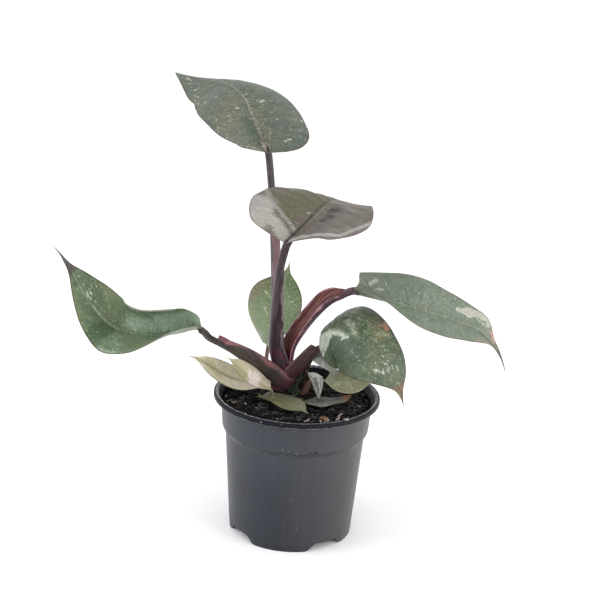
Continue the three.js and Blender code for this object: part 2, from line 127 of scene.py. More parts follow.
def tubeFaces(rows, sides):
    # the sides of a sweep whose sections are closed, and a fan over each of its ends
    k = np.arange(1, sides - 1)
    fan = np.stack([0 * k, k, k + 1], -1)
    fans = np.concatenate([fan[:, ::-1], fan + (rows - 1) * sides])
    return gridFaces(rows, sides, ring=True).tolist() + fans.tolist()


def sweepFrames(points, stations, facings):
    # centres on an open curve through the points, with the directions across it and up its open side
    path = through(points, stations, straight=True)
    along = unit(np.gradient(path, axis=0))
    first, last = np.array(facings, float)
    facing = first * (1 - stations[:, None]) + last * stations[:, None]
    up = unit(facing - along * (facing * along).sum(1, keepdims=True))
    return path, np.cross(along, up), up


def sweepRings(path, across, up, section):
    # ring points: each centre of the path plus the section's x along across and y along up
    return path[:, None] + across[:, None] * section[..., :1] + up[:, None] * section[..., 1:]


def roundSection(radius, sides):
    # the points of a circle for each radius, and their angles
    angle = np.linspace(0, circle, sides, endpoint=False)
    return radius[:, None, None] * np.stack([np.cos(angle), np.sin(angle)], -1), angle


def joined(parts):
    # the points and faces of several parts as those of one mesh
    starts = np.cumsum([0] + [len(points) for points, _ in parts]).tolist()
    faces = [[v + start for v in face] for (_, own), start in zip(parts, starts) for face in own]
    return np.concatenate([points for points, _ in parts]), faces


def addPiece(name, points, faces, material, slot, replaces=None, layers=None):
    # points in mm; faces as rows of three or four point numbers; layers are vectors kept at the points
    mesh = bpy.data.meshes.new(name)
    points = np.reshape(points, (-1, 3)) * toMetres
    mesh.from_pydata(points.tolist(), [], [list(map(int, face)) for face in faces])
    for key, values in (layers or {}).items():
        vectors = np.asarray(values, np.float32).ravel()
        mesh.attributes.new(key, "FLOAT_VECTOR", "POINT").data.foreach_set("vector", vectors)
    mesh.shade_smooth()
    mesh.materials.append(material)
    piece = bpy.data.objects.new(name, mesh)
    scene.collection.objects.link(piece)
    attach(piece, "root")
    if replaces:
        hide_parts(replaces)
    return piece


def newMaterial(name):
    # a material whose node tree is empty
    material = bpy.data.materials.new(name)
    material.use_nodes = True
    tree = material.node_tree
    tree.nodes.clear()
    return material, tree


def addNode(tree, kind, inputs=(), output=0, **settings):
    # adds a node, sets or links its inputs by number or name, and gives one of its outputs
    node = tree.nodes.new("ShaderNode" + kind)
    for key, value in settings.items():
        setattr(node, key, value)
    for key, value in inputs.items() if isinstance(inputs, dict) else enumerate(inputs):
        if isinstance(value, bpy.types.NodeSocket):
            tree.links.new(value, node.inputs[key])
        else:
            node.inputs[key].default_value = value
    return node.outputs[output] if node.outputs else node


def layOver(tree, colour, tint, *masks):
    # lays a tint over a colour where every mask is open. A mask is a value and the two levels between which
    # it opens; the first may also say how far it is open before and after them
    show = 1.0
    for value, low, high, *ends in masks:
        start, end = ends or (0.0, show)
        show = addNode(tree, "MapRange", [value, low, high, start, end], interpolation_type="SMOOTHSTEP")
    return addNode(tree, "Mix", {0: show, 6: colour, 7: tint}, 2, data_type="RGBA")


def dotsOver(tree, colour, tint, place, scale, share, size, show):
    # lays dots over a colour, in a share of a cell pattern's cells. size is the least radius, how much more
    # it may be and how much of it is solid
    least, more, solid = size
    cells = addNode(tree, "TexVoronoi", {"Vector": place, "Scale": scale}).node.outputs
    pick = addNode(tree, "SeparateColor", [cells[1]]).node.outputs
    chosen = addNode(tree, "Math", [pick[0], share], operation="LESS_THAN")
    reach = addNode(tree, "Math", [pick[1], more, least], operation="MULTIPLY_ADD")
    core = addNode(tree, "Math", [reach, solid], operation="MULTIPLY")
    return layOver(tree, colour, tint, (cells[0], reach, core, 0.0, show), (chosen, 0.4, 0.6))


def finishMaterial(tree, colour, height, relief, sheen, rough, specular, ior=1.45):
    # relief is the strength and depth in m of the bump; sheen is a noise that moves the roughness
    bump = addNode(tree, "Bump", {"Height": height, "Strength": relief[0], "Distance": relief[1]})
    gloss = addNode(tree, "MapRange", [sheen, 0.3, 0.7, *rough])
    shader = addNode(tree, "BsdfPrincipled", {"Base Color": colour, "Roughness": gloss, "IOR": ior,
                                              "Normal": bump, "Specular IOR Level": specular})
    addNode(tree, "OutputMaterial", [shader])


# waxy leaf cuticle over green tissue: soft broad gloss, grey-green hazing in streaks that is partly painted
# sheen, fine pale streaks along the lateral veins, cream and pink variegation that follows them as flecks and
# fields, a thin wine-red margin and a paler, dull underside
def leafMaterial(name, look):
    material, tree = newMaterial(name)
    parts = []
    for layer in ("leafPlace", "leafVein", "leafMarks", "leafSoft"):
        vector = addNode(tree, "Attribute", output=1, attribute_name=layer)
        parts += addNode(tree, "SeparateXYZ", [vector]).node.outputs[:3]
    x, y, tip, phase, edge, under, cream, pink, specks, flush, pale, dark = parts

    # flat mm, and mm along a vein and across the veins: what grows along the veins is drawn out by them
    outward = addNode(tree, "Math", [x], operation="ABSOLUTE")
    sign = addNode(tree, "Math", [x], operation="SIGN")
    side = addNode(tree, "Math", [sign, 40.0, look["seed"]], operation="MULTIPLY_ADD")
    acrossVein = addNode(tree, "Math", [phase, look["veinGap"]], operation="MULTIPLY")
    flat = addNode(tree, "CombineXYZ", [x, y, look["seed"]])
    veined = addNode(tree, "CombineXYZ", [outward, acrossVein, side])
    drawn, longDrawn, lengthwise = (
        addNode(tree, "VectorMath", [vector, scale], operation="MULTIPLY")
        for vector, scale in ((veined, (0.32, 1, 1)), (veined, (0.1, 1, 1)), (flat, (1, 0.1, 1))))
    broad, mottle, fibre, grain, strokes = (
        addNode(tree, "TexNoise", {"Vector": vector, "Scale": scale, "Detail": detail, "Roughness": rough})
        for vector, scale, detail, rough in (
            (flat, 0.05, 3.0, 0.5), (drawn, 0.42, 5.0, 0.65), (longDrawn, 0.9, 4.0, 0.7),
            (flat, 0.75, 4.0, 0.75), (lengthwise, 0.5, 4.0, 0.65)))
    ragged = addNode(tree, "Mix", {0: 0.4, 2: mottle, 3: fibre}, data_type="FLOAT")
    ragged, strokes, grainy = (addNode(tree, "MapRange", [noise, low, 1 - low, -0.5, 0.5])
                               for noise, low in ((ragged, 0.3), (strokes, 0.35), (grain, 0.3)))
    strokes = addNode(tree, "Mix", {0: look["strokes"], 2: ragged, 3: strokes}, data_type="FLOAT")

    # the painted fields, their edges torn by a noise and by the grain, each by its share
    torn = {}
    for key, field, noise, share, grainShare in (
            ("dark", dark, ragged, 0.5, 0.0), ("flush", flush, ragged, 0.25, 0.8),
            ("pale", pale, strokes, look["torn"], 0.3), ("cream", cream, ragged, 0.42, 0.25),
            ("pink", pink, ragged, 0.42, 0.25), ("tip", tip, ragged, 0.5, 0.0)):
        field = addNode(tree, "Math", [noise, share, field], operation="MULTIPLY_ADD")
        torn[key] = addNode(tree, "Math", [grainy, grainShare, field], operation="MULTIPLY_ADD")

    # ground: two greens in broad clouds, hazed over in grey-green streaks that are partly painted sheen, then
    # darker, olive and pale parts, of which some dark and pale ones are painted shade and highlight
    colour = layOver(tree, look["green"], look["greenDeep"], (broad, 0.35, 0.65))
    colour = layOver(tree, colour, look["haze"], (mottle, 0.38, 0.64, 0.0, look["mottle"]))
    for key, low, high, show in (
            ("dark", 0.2, 0.9, 0.85), ("flush", 0.15, 1.0, 0.85), ("pale", 0.35, 1.0, 0.9)):
        colour = layOver(tree, colour, look[key], (torn[key], low, high, 0.0, show))

    # lateral veins as fine broken lines, and the midrib
    turns = addNode(tree, "Math", [phase, circle], operation="MULTIPLY")
    wave = addNode(tree, "Math", [turns], operation="COSINE")
    for tint, *masks in (
            ("vein", (wave, 0.86, 1.0, 0.0, look["veinShow"]), (mottle, 0.35, 0.6)),
            ("rib", (outward, 0.3, 1.3, look["ribShow"], 0.0))):
        colour = layOver(tree, colour, look[tint], *masks)

    # dust-fine dots all over, then round specks and longer flecks, more of them where specks are painted
    for place, scale, more, share, painted, show in (
            (flat, 0.55, 0.3, 0.4, 0.3, look["dusting"]), (flat, 0.42, 0.15, 0.07, 0.5, 0.6),
            (drawn, 0.9, 0.26, 0.07, 0.6, 0.7), (drawn, 0.34, 0.19, 0.02, 0.3, 0.75)):
        limit = addNode(tree, "Math", [specks, painted, share * look["specks"]], operation="MULTIPLY_ADD")
        colour = dotsOver(tree, colour, look["cream"], place, scale, limit, (0.08, more, 0.4), show)

    # cream and pink fields: 0.5 is their outline, and they're streaked within with the grey-green that is
    # partly painted sheen
    for key in ("cream", "pink"):
        tone = layOver(tree, look[key], look["haze"], (fibre, 0.5, 0.75, 0.0, 0.55))
        colour = layOver(tree, colour, tone, (torn[key], 0.4, 0.64, 0.0, look["fieldShow"]))

    # dry tip, red margin and dull underside, on which the midrib and the lateral veins stand out paler
    for tint, *masks in (
            ("tip", (torn["tip"], 0.3, 0.75, 0.0, 0.9)),
            ("margin", (edge, 0.3, 0.85, look["marginShow"], 0.0)),
            ("under", (under, 0.0, 1.0, 0.0, 0.8)),
            ("rib", (outward, 0.8, 2.2, 0.5, 0.0), (under, 0.4, 0.6)),
            ("vein", (wave, 0.93, 1.0, 0.0, 0.3), (under, 0.4, 0.6))):
        colour = layOver(tree, colour, look[tint], *masks)

    # streaks and grain over all of it
    for noise, share in ((fibre, look["streaks"]), (grain, look["grit"])):
        shade = addNode(tree, "MapRange", [noise, 0.28, 0.72, 1 - share, 1 + share])
        colour = addNode(tree, "VectorMath", [colour, shade], operation="MULTIPLY")
    height = addNode(tree, "Math", [fibre, 2.0, grain], operation="MULTIPLY_ADD")
    height = addNode(tree, "Math", [wave, -0.3, height], operation="MULTIPLY_ADD")
    rough = (look["rough"] - 0.06, look["rough"] + 0.08)
    finishMaterial(tree, colour, height, (0.6, 0.0003), grain, rough, look["shine"])
    return material


# half outline, base to tip: distance from the midrib in half widths, and distance along it in body lengths, or
# in lobe lengths where it runs back
outline = [
    [0.03, 0], [0.34, -0.88], [0.66, -1], [0.9, 0], [1, 0.16], [0.97, 0.35],
    [0.83, 0.54], [0.6, 0.72], [0.34, 0.86], [0.13, 0.95], [0.045, 0.985], [0, 1],
]
lobePoints = slice(1, 4)
ribSteps = 240
# sizes in mm: a blade's edge and the body that it gains inward, the channel over the midrib, the shoulders
# beside it and the keel under it, each with its half width, and the length from which they're in full
blade = {
    "edge": 0.3, "body": 0.4, "channel": 0.5, "channelWidth": 0.8, "shoulder": 0.2, "shoulderAt": 2.2,
    "shoulderWidth": 1.1, "keel": 1.5, "keelWidth": 1.5, "fullLength": 110,
}


def halfOutline(leaf, side, u):
    # margin of one half at u from base to tip: distance from the midrib and distance along it
    lobe, halfWidth = leaf.get("lobe", [0, 0])[side], leaf["halfWidth"][side]
    shape = np.array([[x, y * lobe if y < 0 else y] for x, y in outline])
    if lobe < 0:
        shape[lobePoints, 1] = np.array([0.15, 0.5, 1]) * -lobe
        shape[lobePoints.stop, 1] -= 0.6 * lobe
    edge = through(shape, u)
    stretch = leaf["tip"] * np.clip((u - 0.8) / 0.2, 0, 1) ** 2
    return edge[..., 0] * halfWidth, edge[..., 1] * (leaf["length"] - leaf["tip"]) + stretch


def midribFrames(leaf):
    # the midrib's points and its ways along, across and up, walked from the base by heading, pitch and roll
    t = np.linspace(0, 1, ribSteps + 1)

    def direction(at):
        # the way that heading and pitch give at a share of the length
        heading, pitch = (np.radians(through(leaf[key], at)) for key in ("heading", "pitch"))
        return np.stack([np.cos(pitch) * np.cos(heading), np.cos(pitch) * np.sin(heading), np.sin(pitch)], -1)

    steps = direction(t[1:] - 0.5 / ribSteps) * leaf["length"] / ribSteps
    point = np.concatenate([[[0, 0, 0]], np.cumsum(steps, 0)]) + np.array(leaf["base"], float)
    heading, roll = (np.radians(through(leaf[key], t)) for key in ("heading", "roll"))
    along = direction(t)
    level = np.stack([-np.sin(heading), np.cos(heading), 0 * heading], -1)
    rise = np.cross(along, level)
    cos, sin = np.cos(roll)[:, None], np.sin(roll)[:, None]
    return point, along, level * cos + rise * sin, rise * cos - level * sin


def alongMark(x, y, x0, y0, x1, y1):
    # how far along a mark's line each place is, from 0 to 1, and how far away from it
    run = np.array([x1 - x0, y1 - y0], float)
    along = np.clip(((x - x0) * run[0] + (y - y0) * run[1]) / max(run @ run, 1e-6), 0, 1)
    return along, np.hypot(x - x0 - along * run[0], y - y0 - along * run[1])


def markField(x, y, marks):
    # how deep each place lies inside the nearest mark, a thick line from one place to another: 0.5 on its
    # outline, with a slope that is gentler for a wide mark, so that its outline can wander further
    field = np.zeros(np.broadcast(x, y).shape)
    for *line, width in marks:
        along, distance = alongMark(x, y, *line)
        taper = width * (1 - 0.6 * (2 * along - 1) ** 2) if width < 1.4 else width
        field = np.maximum(field, np.clip(0.5 + (taper - distance) / (1.5 + 1.8 * width), 0, 1))
    return field


def softField(x, y, marks):
    # soft patches: 1 in the middle of each mark, fading with the square of the distance over its width
    field = np.zeros(np.broadcast(x, y).shape)
    for *line, width, strength in marks:
        distance = alongMark(x, y, *line)[1]
        field = np.maximum(field, strength * np.exp(-(distance / width) ** 2))
    return field


def leafSheet(leaf, rows, columns):
    # upper face: each half leaves the midrib at its fold angle and turns evenly by its cup angle up to the
    # margin; on top come the midrib's channel, quilting between the veins and a slow wave of the margin; the
    # lower face lies a blade's thickness under it, with the midrib standing out as a keel
    u = np.linspace(0, 0.995, rows)[:, None]
    c = np.linspace(-1, 1, 2 * columns + 1)[None, :]
    s = np.abs(c) - 0.7 * np.sin(circle * np.abs(c)) / circle
    point, along, across, up = midribFrames(leaf)
    length = leaf["length"]
    halves = []
    for side in (0, 1):
        reach, marginY = (v[:, None] for v in halfOutline(leaf, side, u[:, 0]))
        ribY = u ** 1.35 * length
        y = ribY + (marginY - ribY) * s ** 1.25
        x = reach * s
        t = np.clip(y / length, 0, 1)
        fold = np.radians(leaf["fold"][side][0] * (1 - t) + leaf["fold"][side][1] * t)
        bend = (math.radians(leaf.get("cup", [0, 0])[side]) or 1e-6) / leaf["halfWidth"][side]
        turned = fold + bend * x
        out, lift = (np.sin(turned) - np.sin(fold)) / bend, (np.cos(fold) - np.cos(turned)) / bend
        tilt = turned * np.minimum(1, x / 6)
        halves.append((x, y, out, lift, tilt, reach * (1 - s) + 1 - smooth(reach, 2, 9) + 0 * y))
    left = c < 0
    x, y, out, lift, tilt, edge = (np.where(left, a, b) for a, b in zip(*halves))
    sign = np.where(left, 1.0, -1.0) * np.ones_like(y)
    flatX = -x * sign
    t = np.clip(y / length, 0, 1)
    place = t * ribSteps
    i = np.minimum(place.astype(int), ribSteps - 1)
    w = (place - i)[..., None]
    point, across, up = (v[i] * (1 - w) + v[i + 1] * w for v in (point, across, up))
    out, sin = (sign * out)[..., None], (sign * np.sin(tilt))[..., None]
    top = point + np.minimum(y, 0)[..., None] * along[0] + across * out + up * lift[..., None]
    down = across * sin - up * np.cos(tilt)[..., None]

    # relief of the upper face, thickness and keel
    phase = u * leaf["veins"] * np.ones_like(y)
    size = min(1.0, length / blade["fullLength"])
    seed = leaf["look"]["seed"]
    relief = -blade["channel"] * size * np.exp(-(x / blade["channelWidth"]) ** 2) * (1 - 0.75 * t)
    shoulder = np.exp(-((x - blade["shoulderAt"]) / blade["shoulderWidth"]) ** 2)
    relief += blade["shoulder"] * size * shoulder * (1 - t)
    relief -= leaf["quilt"] * np.cos(circle * phase) * smooth(x, 0.5, 5) * smooth(edge, 0, 6)
    relief += leaf["wave"] * (cloud(x / 14 * sign + seed, y / 12 + 20) - 0.5) * smooth(x, 2, 20)
    thick = blade["edge"] + blade["body"] * smooth(edge, 0, 2.5)
    keel = np.exp(-(x / (blade["keelWidth"] * size)) ** 2) * (1 - t) ** 0.7 * smooth(u, 0, 0.02)
    upper = top - down * relief[..., None]
    for pullX, pullY, width, *shift in leaf.get("pulls", []):
        near = np.exp(-((flatX - pullX) ** 2 + (y - pullY) ** 2) / width ** 2)
        upper = upper + near[..., None] * shift
    lower = upper + down * (thick + blade["keel"] * size * keel)[..., None]

    # what the material draws by, on the upper and on the lower face
    cream, pink = (markField(flatX, y, leaf.get(key, [])) for key in ("cream", "pink"))
    specks, flush, pale, dark = (
        softField(flatX, y, leaf.get(key, [])) for key in ("specks", "flush", "pale", "dark"))
    dry = smooth(y, leaf["dryFrom"] - 4, leaf["dryFrom"] + 6) if "dryFrom" in leaf else 0 * y
    marks, soft = np.stack([cream, pink, specks], -1), np.stack([flush, pale, dark], -1)
    layers = {
        "leafPlace": [np.stack([flatX, y, dry], -1)] * 2,
        "leafVein": [np.stack([phase, edge, flag + 0 * y], -1) for flag in (0, 1)],
        "leafMarks": [marks, marks * [0.5, 0.5, 0.3]],
        "leafSoft": [soft, soft],
    }
    return [upper, lower], sheetFaces(rows, 2 * columns + 1), layers


leafDefaults = {
    "green": "#4c5a44", "greenDeep": "#43523f", "haze": "#6c7468", "dark": "#39493a", "flush": "#5c5840",
    "pale": "#8f8b7e", "vein": "#7c826f", "rib": "#858a76", "cream": "#d3d3bf", "pink": "#b98273",
    "tip": "#4b4039", "margin": "#4a2a2c", "under": "#69735f", "mottle": 0.35, "veinShow": 0.22,
    "ribShow": 0.6, "marginShow": 0.7, "specks": 1.0, "dusting": 0.25, "streaks": 0.12, "rough": 0.42,
    "shine": 0.5, "veinGap": 6.0, "strokes": 0.0, "torn": 0.7, "fieldShow": 0.9, "grit": 0.38,
}
grid = {"rows": 150, "columns": 32}
# the midrib starts at base and has its heading, pitch and roll in degrees at even places; fold and cup turn
# each half, lobe is how far it runs back, and a pull moves what is near a place: x, y, spread and the way.
# joint, drop and reach say how the stalk meets the blade. The marks, from cream to dark, are thick lines on
# the flattened blade: x from the midrib (right is positive) and y from its base at both ends, then half
# width; the soft ones (specks, flush, pale and dark) end with their strength
leaves = {}
leaves["leaf_top"] = dict(
    base=[-30, 36, 272], heading=[127, 122, 141, 151], pitch=[42, 39, 1, 5], roll=[-7, -8, -16, -12],
    fold=[[43, -34], [42, -35]], cup=[-29, -42], length=122, halfWidth=[40, 36], lobe=[0.03, 0.06], tip=0,
    veins=17, quilt=0.1, wave=0.7, joint=[1.2, 0, -0.5],
    pulls=[[-40, 12, 12, -1, 0, -1.4], [-40, 40, 14, -1.4, 0, -1], [0, 0, 8, 0.8, 0, -0.8],
        [-24, 96, 13, -1.8, 0, -1], [34, 42, 16, 0.9, 0, 0], [-29, 75, 10, -1.5, 0, 0],
        [-38, 54, 8, 2.1, 0, 0], [-35, 62, 8, -0.4, 0, -3]],
    cream=[[9, 41, 13.5, 43.5, 1], [15.5, 23, 16.5, 24, 0.8], [28.5, 21, 29.5, 21.5, 0.6],
        [33, 16.5, 34.5, 19.5, 0.8], [14.5, 2, 20, 1.6, 0.9], [27, 8, 28.5, 9, 0.7],
        [22, 10, 22.8, 10.8, 0.5], [24, 15, 25, 15.5, 0.4], [20, 20, 20.5, 20.5, 0.4],
        [-12, 71, -11, 77, 0.35], [-20, 83, -18.5, 87, 0.7], [-13, 92, -12, 96, 0.6], [-8, 75, -7, 82, 0.4],
        [-4, 104, -3, 110, 0.7], [-28.5, 54, -27, 62, 0.5], [-24, 80, -22, 88, 0.45],
        [-17, 30, -13, 33, 0.4], [-30, 66, -28, 70, 0.5]],
    specks=[[20, 12, 28, 14, 9, 0.5], [-25, 20, -10, 45, 12, 0.6], [-36, 10, -30, 50, 5, 1]],
    flush=[[-30, 12, -18, 44, 14, 0.65], [-24, 60, -26, 84, 5, 0.6], [3, 34, 5, 12, 4, 0.8],
        [-6, 2, 1, 8, 4, 1], [-35, 4, -33, 24, 5, 0.9]],
    pale=[[0, 0, 0.6, 26, 2.2, 0.8], [0.4, 26, 0.8, 48, 1.7, 0.7], [0.8, 46, 0, 66, 1.5, 0.6],
        [-4, 3, 0, 8, 3, 0.9], [0, 0, -8, 13, 1, 0.7], [0, 0, 9, 17, 1, 0.7], [0, 0, 12, 9, 0.8, 0.5],
        [0, 60, -2, 118, 3, 0.45], [-34, -1, -8, -3, 1.6, 0.7]],
    dark=[[-6, 4, -8, 26, 7, 0.8], [6, 14, 12, 6, 6, 0.4]],
    look=dict(seed=3, green="#515845", greenDeep="#434f47", haze="#666961", flush="#63634f", pale="#9d9187",
        cream="#b5b5a8", rough=0.46, dusting=0.7, mottle=0.45, fieldShow=0.75, ribShow=0.25, torn=0.5))
leaves["leaf_upper"] = dict(
    base=[-11, -12, 221], heading=[50, 60, 62, 59], pitch=[29, 22, -17, -49], roll=[11, 15, 3, -9],
    fold=[[44, -11], [37, -8]], cup=[-47, -23], length=103, halfWidth=[42, 45], lobe=[0.08, -0.03], tip=12,
    veins=15, quilt=0.2, wave=1.4,
    pulls=[[0, 0, 14, -3, 0, -2], [12, 67, 8, 0, 0, -2], [31, 61, 6, 0, 0, 2], [38, 50, 6, 0, 0, 1.2],
        [-40, 16, 8, -1.7, 0, 0.8], [-34, 2, 6, 1.2, 0, 0.8]],
    joint=[-3, 0, -2],
    cream=[[-12.5, 20, -11, 20.5, 0.5], [-3.8, 27, -2.6, 30, 0.7], [-8, 22, -7.6, 23, 0.4]],
    specks=[[-10, 20, -6, 30, 10, 0.3]],
    flush=[[-18, 22, -10, 44, 14, 1.2]],
    # the pale marks over the left lobe are partly painted highlight, and the pale line right of the midrib is
    # a painted highlight on its groove's side
    pale=[[-28, -2, -34, 12, 13, 1.25], [-26, 4, -6, 3, 7, 1.1], [-39, 30, -30, 18, 4, 0.8],
        [-30, 18, -16, 13, 3.2, 0.8], [-16, 13, -3, 11, 2.6, 0.8], [-26, 8, -4, 7, 1.6, 0.7],
        [-24, 1, -6, 0.5, 0.9, 0.7], [4, 3, 38, 9, 3.4, 1.1], [38, 10, 42, 38, 3.2, 0.9],
        [26, 14, 36, 20, 4, 0.5], [22, 40, 26, 22, 1.6, 0.5], [1.5, 12, 3, 40, 1.6, 0.6],
        [-38, 20, -34, 40, 6, 0.4], [3, 52, 26, 44, 6, 0.55], [6, 74, 10, 66, 5, 0.8]],
    # the dark line just left of the midrib is painted shade in its groove
    dark=[[12, 41, 10.5, 37, 2.6, 3], [13.5, 30, 12.5, 25, 2.2, 3.2], [14, 20, 14, 44, 13, 0.45],
        [-0.7, 4, -0.7, 50, 0.8, 1], [-34, 28, -22, 18.5, 0.8, 0.8], [-22, 18.5, -4, 13.5, 0.7, 0.8],
        [-36, 14, -20, 9.5, 0.7, 0.6], [-12, 10, -3, 9.5, 0.8, 0.9], [-22, 5, -5, 4.8, 0.7, 0.8],
        [4, 5, 4, 30, 3, 0.4], [-38, 12, -26, 14, 1.2, 0.6]],
    look=dict(seed=8, green="#575147", greenDeep="#5c534e", haze="#716b66", flush="#524f37", pale="#9d9893",
        dark="#2e2824", vein="#857e74", rib="#4e453f", specks=0.5, rough=0.48, torn=0.25, margin="#4a3034",
        under="#6b6560", cream="#b9b7a8", mottle=0.36))
leaves["leaf_left"] = dict(
    base=[-69, -32, 162], heading=[153, 163, 179, 197], pitch=[-23, -6, 55, 56], roll=[-47, -48, -50, -33],
    fold=[[60, 14], [61, 3]], cup=[-6, 80], length=141, halfWidth=[35, 37], lobe=[0.06, 0.02], tip=17,
    veins=18, quilt=0.05, wave=0.6, dryFrom=116, drop=0.6, joint=[0.8, 0, -2.4], reach=2,
    pulls=[[0, 0, 5, 0.6, 0, -0.8], [17, 28, 22, 0, 0, -1.7], [9, -2, 7, 2.4, 0, 0], [-6, 8, 9, 0, 0, 0.8],
        [-24, 90, 20, 1, 0, 0.3], [-28, 66, 10, -1, 0, -1.3], [5, 118, 9, 0.8, 0, 1.6],
        [0, 134, 10, 0.8, 0, 1.4]],
    cream=[[2, 94, 2, 101, 0.9], [4.5, 96, 5, 102, 0.7], [3.5, 90, 4, 93, 0.5], [-28, 56, -27.5, 58, 0.7],
        [-27, 60, -26.5, 62, 0.7], [-27.5, 64, -27, 66, 0.6], [7.5, 50, 8, 53, 0.6],
        [14.5, 54, 15, 57, 0.5], [5.5, 26, 6, 29, 0.6], [12.5, 15, 13, 18, 0.6], [8, 62, 8.5, 65, 0.4],
        [9, 68, 9.5, 70, 0.4], [11, 86, 12, 88, 0.5], [13, 92, 13.5, 94, 0.5], [-10, 84, -9.5, 87, 0.4],
        [-7, 80, -6.5, 83, 0.4], [-20, 34, -14, 37, 0.4]],
    specks=[[3, 96, 4, 104, 6, 0.9], [8, 20, 8, 90, 9, 0.6], [-27, 54, -26, 68, 4, 0.8],
        [-14, 76, -14, 90, 8, 0.5]],
    flush=[[20, 66, 14, 100, 7, 0.7], [-20, 100, -8, 116, 7, 0.7], [-26, 30, -18, 50, 12, 0.6],
        [4, 60, 0, 92, 7, 0.6]],
    # the two broad pale marks on the right half, from the base up, are painted light on a part that lies in
    # shade
    pale=[[0, 2, -1.5, 66, 1.2, 0.55], [-1.5, 66, 0.5, 90, 1.5, 0.9], [10, -2, 11, 26, 14, 1],
        [10, 26, 8, 56, 12, 0.8], [-30, 55, -26, 68, 3, 0.7], [-24, 56, -8, 66, 9, 0.5]],
    dark=[[-24, 77, -10, 75, 5, 2], [-12, 73, -4, 72, 4.5, 2.4], [10, 102, 5, 116, 7, 1.4],
        [8, 90, 12, 100, 5, 0.6], [0, 114, 0, 141, 8, 1.2]],
    look=dict(seed=14, green="#6b7a5a", greenDeep="#5d7057", haze="#87947d", flush="#6c7052",
        pale="#a9bea7", cream="#b9c0ae", fieldShow=0.85, dusting=0.9, veinShow=0.1, mottle=0.2,
        dark="#4c6045", tip="#453a38", vein="#8b9c7e", rib="#98a489", streaks=0.08, torn=0.25, ribShow=0.4))
leaves["leaf_right"] = dict(
    base=[36, 10, 181], heading=[-6, 5, 13, 13], pitch=[-11, -15, -27, -75], roll=[12, 43, 53, 51],
    fold=[[28, 18], [43, 3]], cup=[-45, 8], length=139, halfWidth=[27, 27], lobe=[-0.04, -0.04], drop=0.2,
    tip=22, veins=18, quilt=0.06, wave=1, dryFrom=119,
    pulls=[[-21, 0, 6, -2, 0, 0.4], [-8, -1, 6, 1.8, 0, 0], [-19, 66, 12, -0.5, 0, -1],
        [-7, 97, 9, 2.2, 0, 1.8], [19, 48, 18, -0.3, 0, -1.2], [0, 136, 12, 0.9, 0, -0.5]],
    cream=[[-15.5, 14.5, -9.5, 10.5, 1.7], [-7.5, 21, -6, 16, 1], [-5, 9, -2.5, 4, 0.5],
        [-9.5, 101, -9, 85, 3.6], [-9.2, 86, -8.5, 77, 1.8], [-6, 101, -8, 98, 2.2],
        [-3.5, 99, -5, 92, 0.8]],
    pink=[[-4, 107, -2.8, 111, 1.4]],
    specks=[[-15, 24, -10, 58, 10, 0.55], [10, 60, 10, 90, 12, 0.3]],
    flush=[[10, 98, 5, 111, 2.6, 0.9], [-7, 106, -2, 113, 3, 1]],
    pale=[[-14, 2, 14, 2, 8, 0.6], [-12, 96, -7, 107, 3, 0.9], [4, 6, 22, 10, 3, 0.6],
        [0, 0, 0, 40, 1.4, 0.7], [2, 22, 24, 28, 1.5, 0.6], [2, 14, 24, 18, 1.2, 0.6],
        [-13, 12, -3, 3, 3, 0.6]],
    dark=[[-22, 5, -24, 38, 5, 0.5], [2, 98, 1.5, 114, 2.2, 0.7], [0, 120, 0, 139, 8, 1]],
    look=dict(seed=21, green="#646f5e", greenDeep="#5b6b5b", haze="#80887d", flush="#9a8478",
        pink="#a98378", cream="#adada0", tip="#57504c", rough=0.44, dusting=0.75, streaks=0.1, mottle=0.4,
        fieldShow=0.8, veinShow=0.1))
